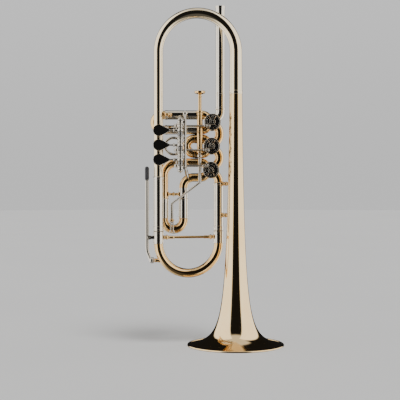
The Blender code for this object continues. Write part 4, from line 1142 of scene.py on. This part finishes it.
def make_water_key():
    """A long lever beside the left leg: rubber tip above, hinge, and cork pad below on the nipple."""
    hinge, pad = pivot("water_key_press"), middle("water_key_pad")
    bar_x, top = hinge.x - 3.6, high("water_key_tip").z
    make_water_key_lever(hinge, pad, bar_x, top)
    seat = turned([(0, 0), (3.1, 0), (3.2, 0.6), (3.2, 3.8), (2.9, 4.7), (2.2, 4.95), (0, 5.0)],
                  (low("water_key_pad").x, pad.y, pad.z), X, 36)
    fine("water_key_pad", seat)
    tip = [(0, -1.6), (1.9, -1.6), (1.9, -18.5), (2.6, -18.5), (2.85, -16), (2.85, -3.0), (2.5, -1.4),
           (1.6, -0.3), (0, 0)]
    fine("water_key_tip", turned(tip, (bar_x, 0, top), steps=36, soft=0.3))
    fine("water_key_spring", coil(hinge + Y * 0.45, 1.95, 0.3, 3, 2.3, Y))


# ---- studio


def make_floor():
    shape = bmesh.new()
    bmesh.ops.create_circle(shape, cap_ends=True, segments=64, radius=6.0)
    floor = placed("floor", shape)
    made, nodes, spot = new_material("pale_floor")
    tint = nodes.blend(nodes.noise(spot, 3.0, 2.0), (0.74, 0.74, 0.74, 1), (0.78, 0.78, 0.775, 1))
    nodes.surface(Base_Color=tint, Roughness=0.7)
    floor.data.materials.append(made)
    floor.visible_glossy = False


def soft_boxes(nodes, way, rise):
    """How lit the room is in a direction, 0 to 1: two tall side boxes, a narrow one overhead, the floor."""
    aside = nodes.math("ABSOLUTE", way[0])
    # The angle round from the front is 0 towards -y, and a half turn towards +y.
    turn = nodes.math("ARCTAN2", way[0], nodes.math("MULTIPLY", way[1], -1.0))
    turn = nodes.math("ABSOLUTE", turn)
    front = nodes.fade(turn, radians(33), radians(41))
    # Each side box ends at a plane that leans back, so that it stops behind the instrument and overhead.
    lean = nodes.math("MULTIPLY_ADD", aside, 0.717, nodes.math("MULTIPLY", way[1], -0.611))
    lean = nodes.math("MULTIPLY_ADD", way[2], -0.335, lean)
    edge = nodes.fade(lean, -0.13, -0.04)
    below = nodes.fade(rise, radians(-60), radians(-25), 0.3, 1.0)
    sides = nodes.math("MULTIPLY", nodes.math("MULTIPLY", front, edge), below)
    high_up = nodes.fade(rise, radians(54), radians(64))
    narrow = nodes.fade(aside, 0.30, 0.42, 0.5, 0.0)
    shallow = nodes.fade(way[1], 0.35, 0.6, 1.0, 0.0)
    top = nodes.math("MULTIPLY", nodes.math("MULTIPLY", high_up, narrow), shallow)
    glow = nodes.fade(rise, radians(-32), radians(-13), 0.05, 0.0)
    return nodes.math("MAXIMUM", nodes.math("MAXIMUM", sides, top), glow)


def make_studio():
    """A plain pale backdrop for the camera, and a dim room with soft boxes for the reflections."""
    world = bpy.data.worlds.new("studio")
    bpy.context.scene.world = world
    world.use_nodes = True
    nodes = Nodes(world.node_tree)
    direction = nodes.add("ShaderNodeTexCoord").outputs["Generated"]
    way = nodes.add("ShaderNodeSeparateXYZ", inputs={0: direction}).outputs
    rise = nodes.math("ARCSINE", way[2])
    room = nodes.blend(soft_boxes(nodes, way, rise), (0.012, 0.012, 0.013, 1), (1.8, 1.76, 1.7, 1))
    ray = nodes.add("ShaderNodeLightPath").outputs
    fill = nodes.blend(ray["Is Diffuse Ray"], room, (0.34, 0.34, 0.34, 1))
    upward = nodes.fade(rise, radians(-1), radians(14))
    pale = nodes.blend(upward, (0.68, 0.68, 0.68, 1), (0.78, 0.78, 0.78, 1))
    reflected, backdrop = (nodes.add("ShaderNodeBackground", inputs={"Color": colour}).outputs[0]
                           for colour in (fill, pale))
    mixed = nodes.add("ShaderNodeMixShader", inputs={0: ray["Is Camera Ray"], 1: reflected, 2: backdrop})
    nodes.add("ShaderNodeOutputWorld", inputs={"Surface": mixed.outputs[0]})


def make_sun():
    """A broad, even light from above the camera's right shoulder, for a soft shadow."""
    lamp = bpy.data.lights.new("sun", "SUN")
    lamp.energy = 2.1
    lamp.angle = radians(24)
    thing = bpy.data.objects.new("sun", lamp)
    thing.rotation_euler = Vector((-0.22, 0.42, -1.0)).to_track_quat("-Z", "Y").to_euler()
    thing.visible_glossy = False
    bpy.context.scene.collection.objects.link(thing)


def make_camera():
    """Straight in front of the levers, level with the instrument's middle and tilted a little down."""
    camera = bpy.data.objects.new("camera", bpy.data.cameras.new("camera"))
    camera.data.lens = 95.1
    camera.data.sensor_width = 36
    camera.location = (-0.0200, -1.45, 0.232)
    aim = Vector((camera.location.x, 0, 0.2000))
    camera.rotation_euler = (aim - camera.location).to_track_quat("-Z", "Y").to_euler()
    bpy.context.scene.collection.objects.link(camera)
    bpy.context.scene.camera = camera


def build():
    """Makes every piece, then the stage, the light and the camera."""
    for number in (1, 2, 3):
        for make in (make_casing, make_elbows, make_bearing_plate, make_rear_cap, make_rotor, make_stop_arm,
                     make_connecting_rod, make_lever):
            make(number)
    for make in (make_bell, make_bow, make_main_tube, make_sleeves, make_mouthpipe, make_receiver,
                 make_knuckles, make_first_slide, make_second_slide, make_third_slide, make_trigger,
                 make_lever_stand, make_thumb_ring, make_bell_braces, make_tube_brace, make_tuning_slide,
                 make_water_key, make_floor, make_studio, make_sun, make_camera):
        make()


build()
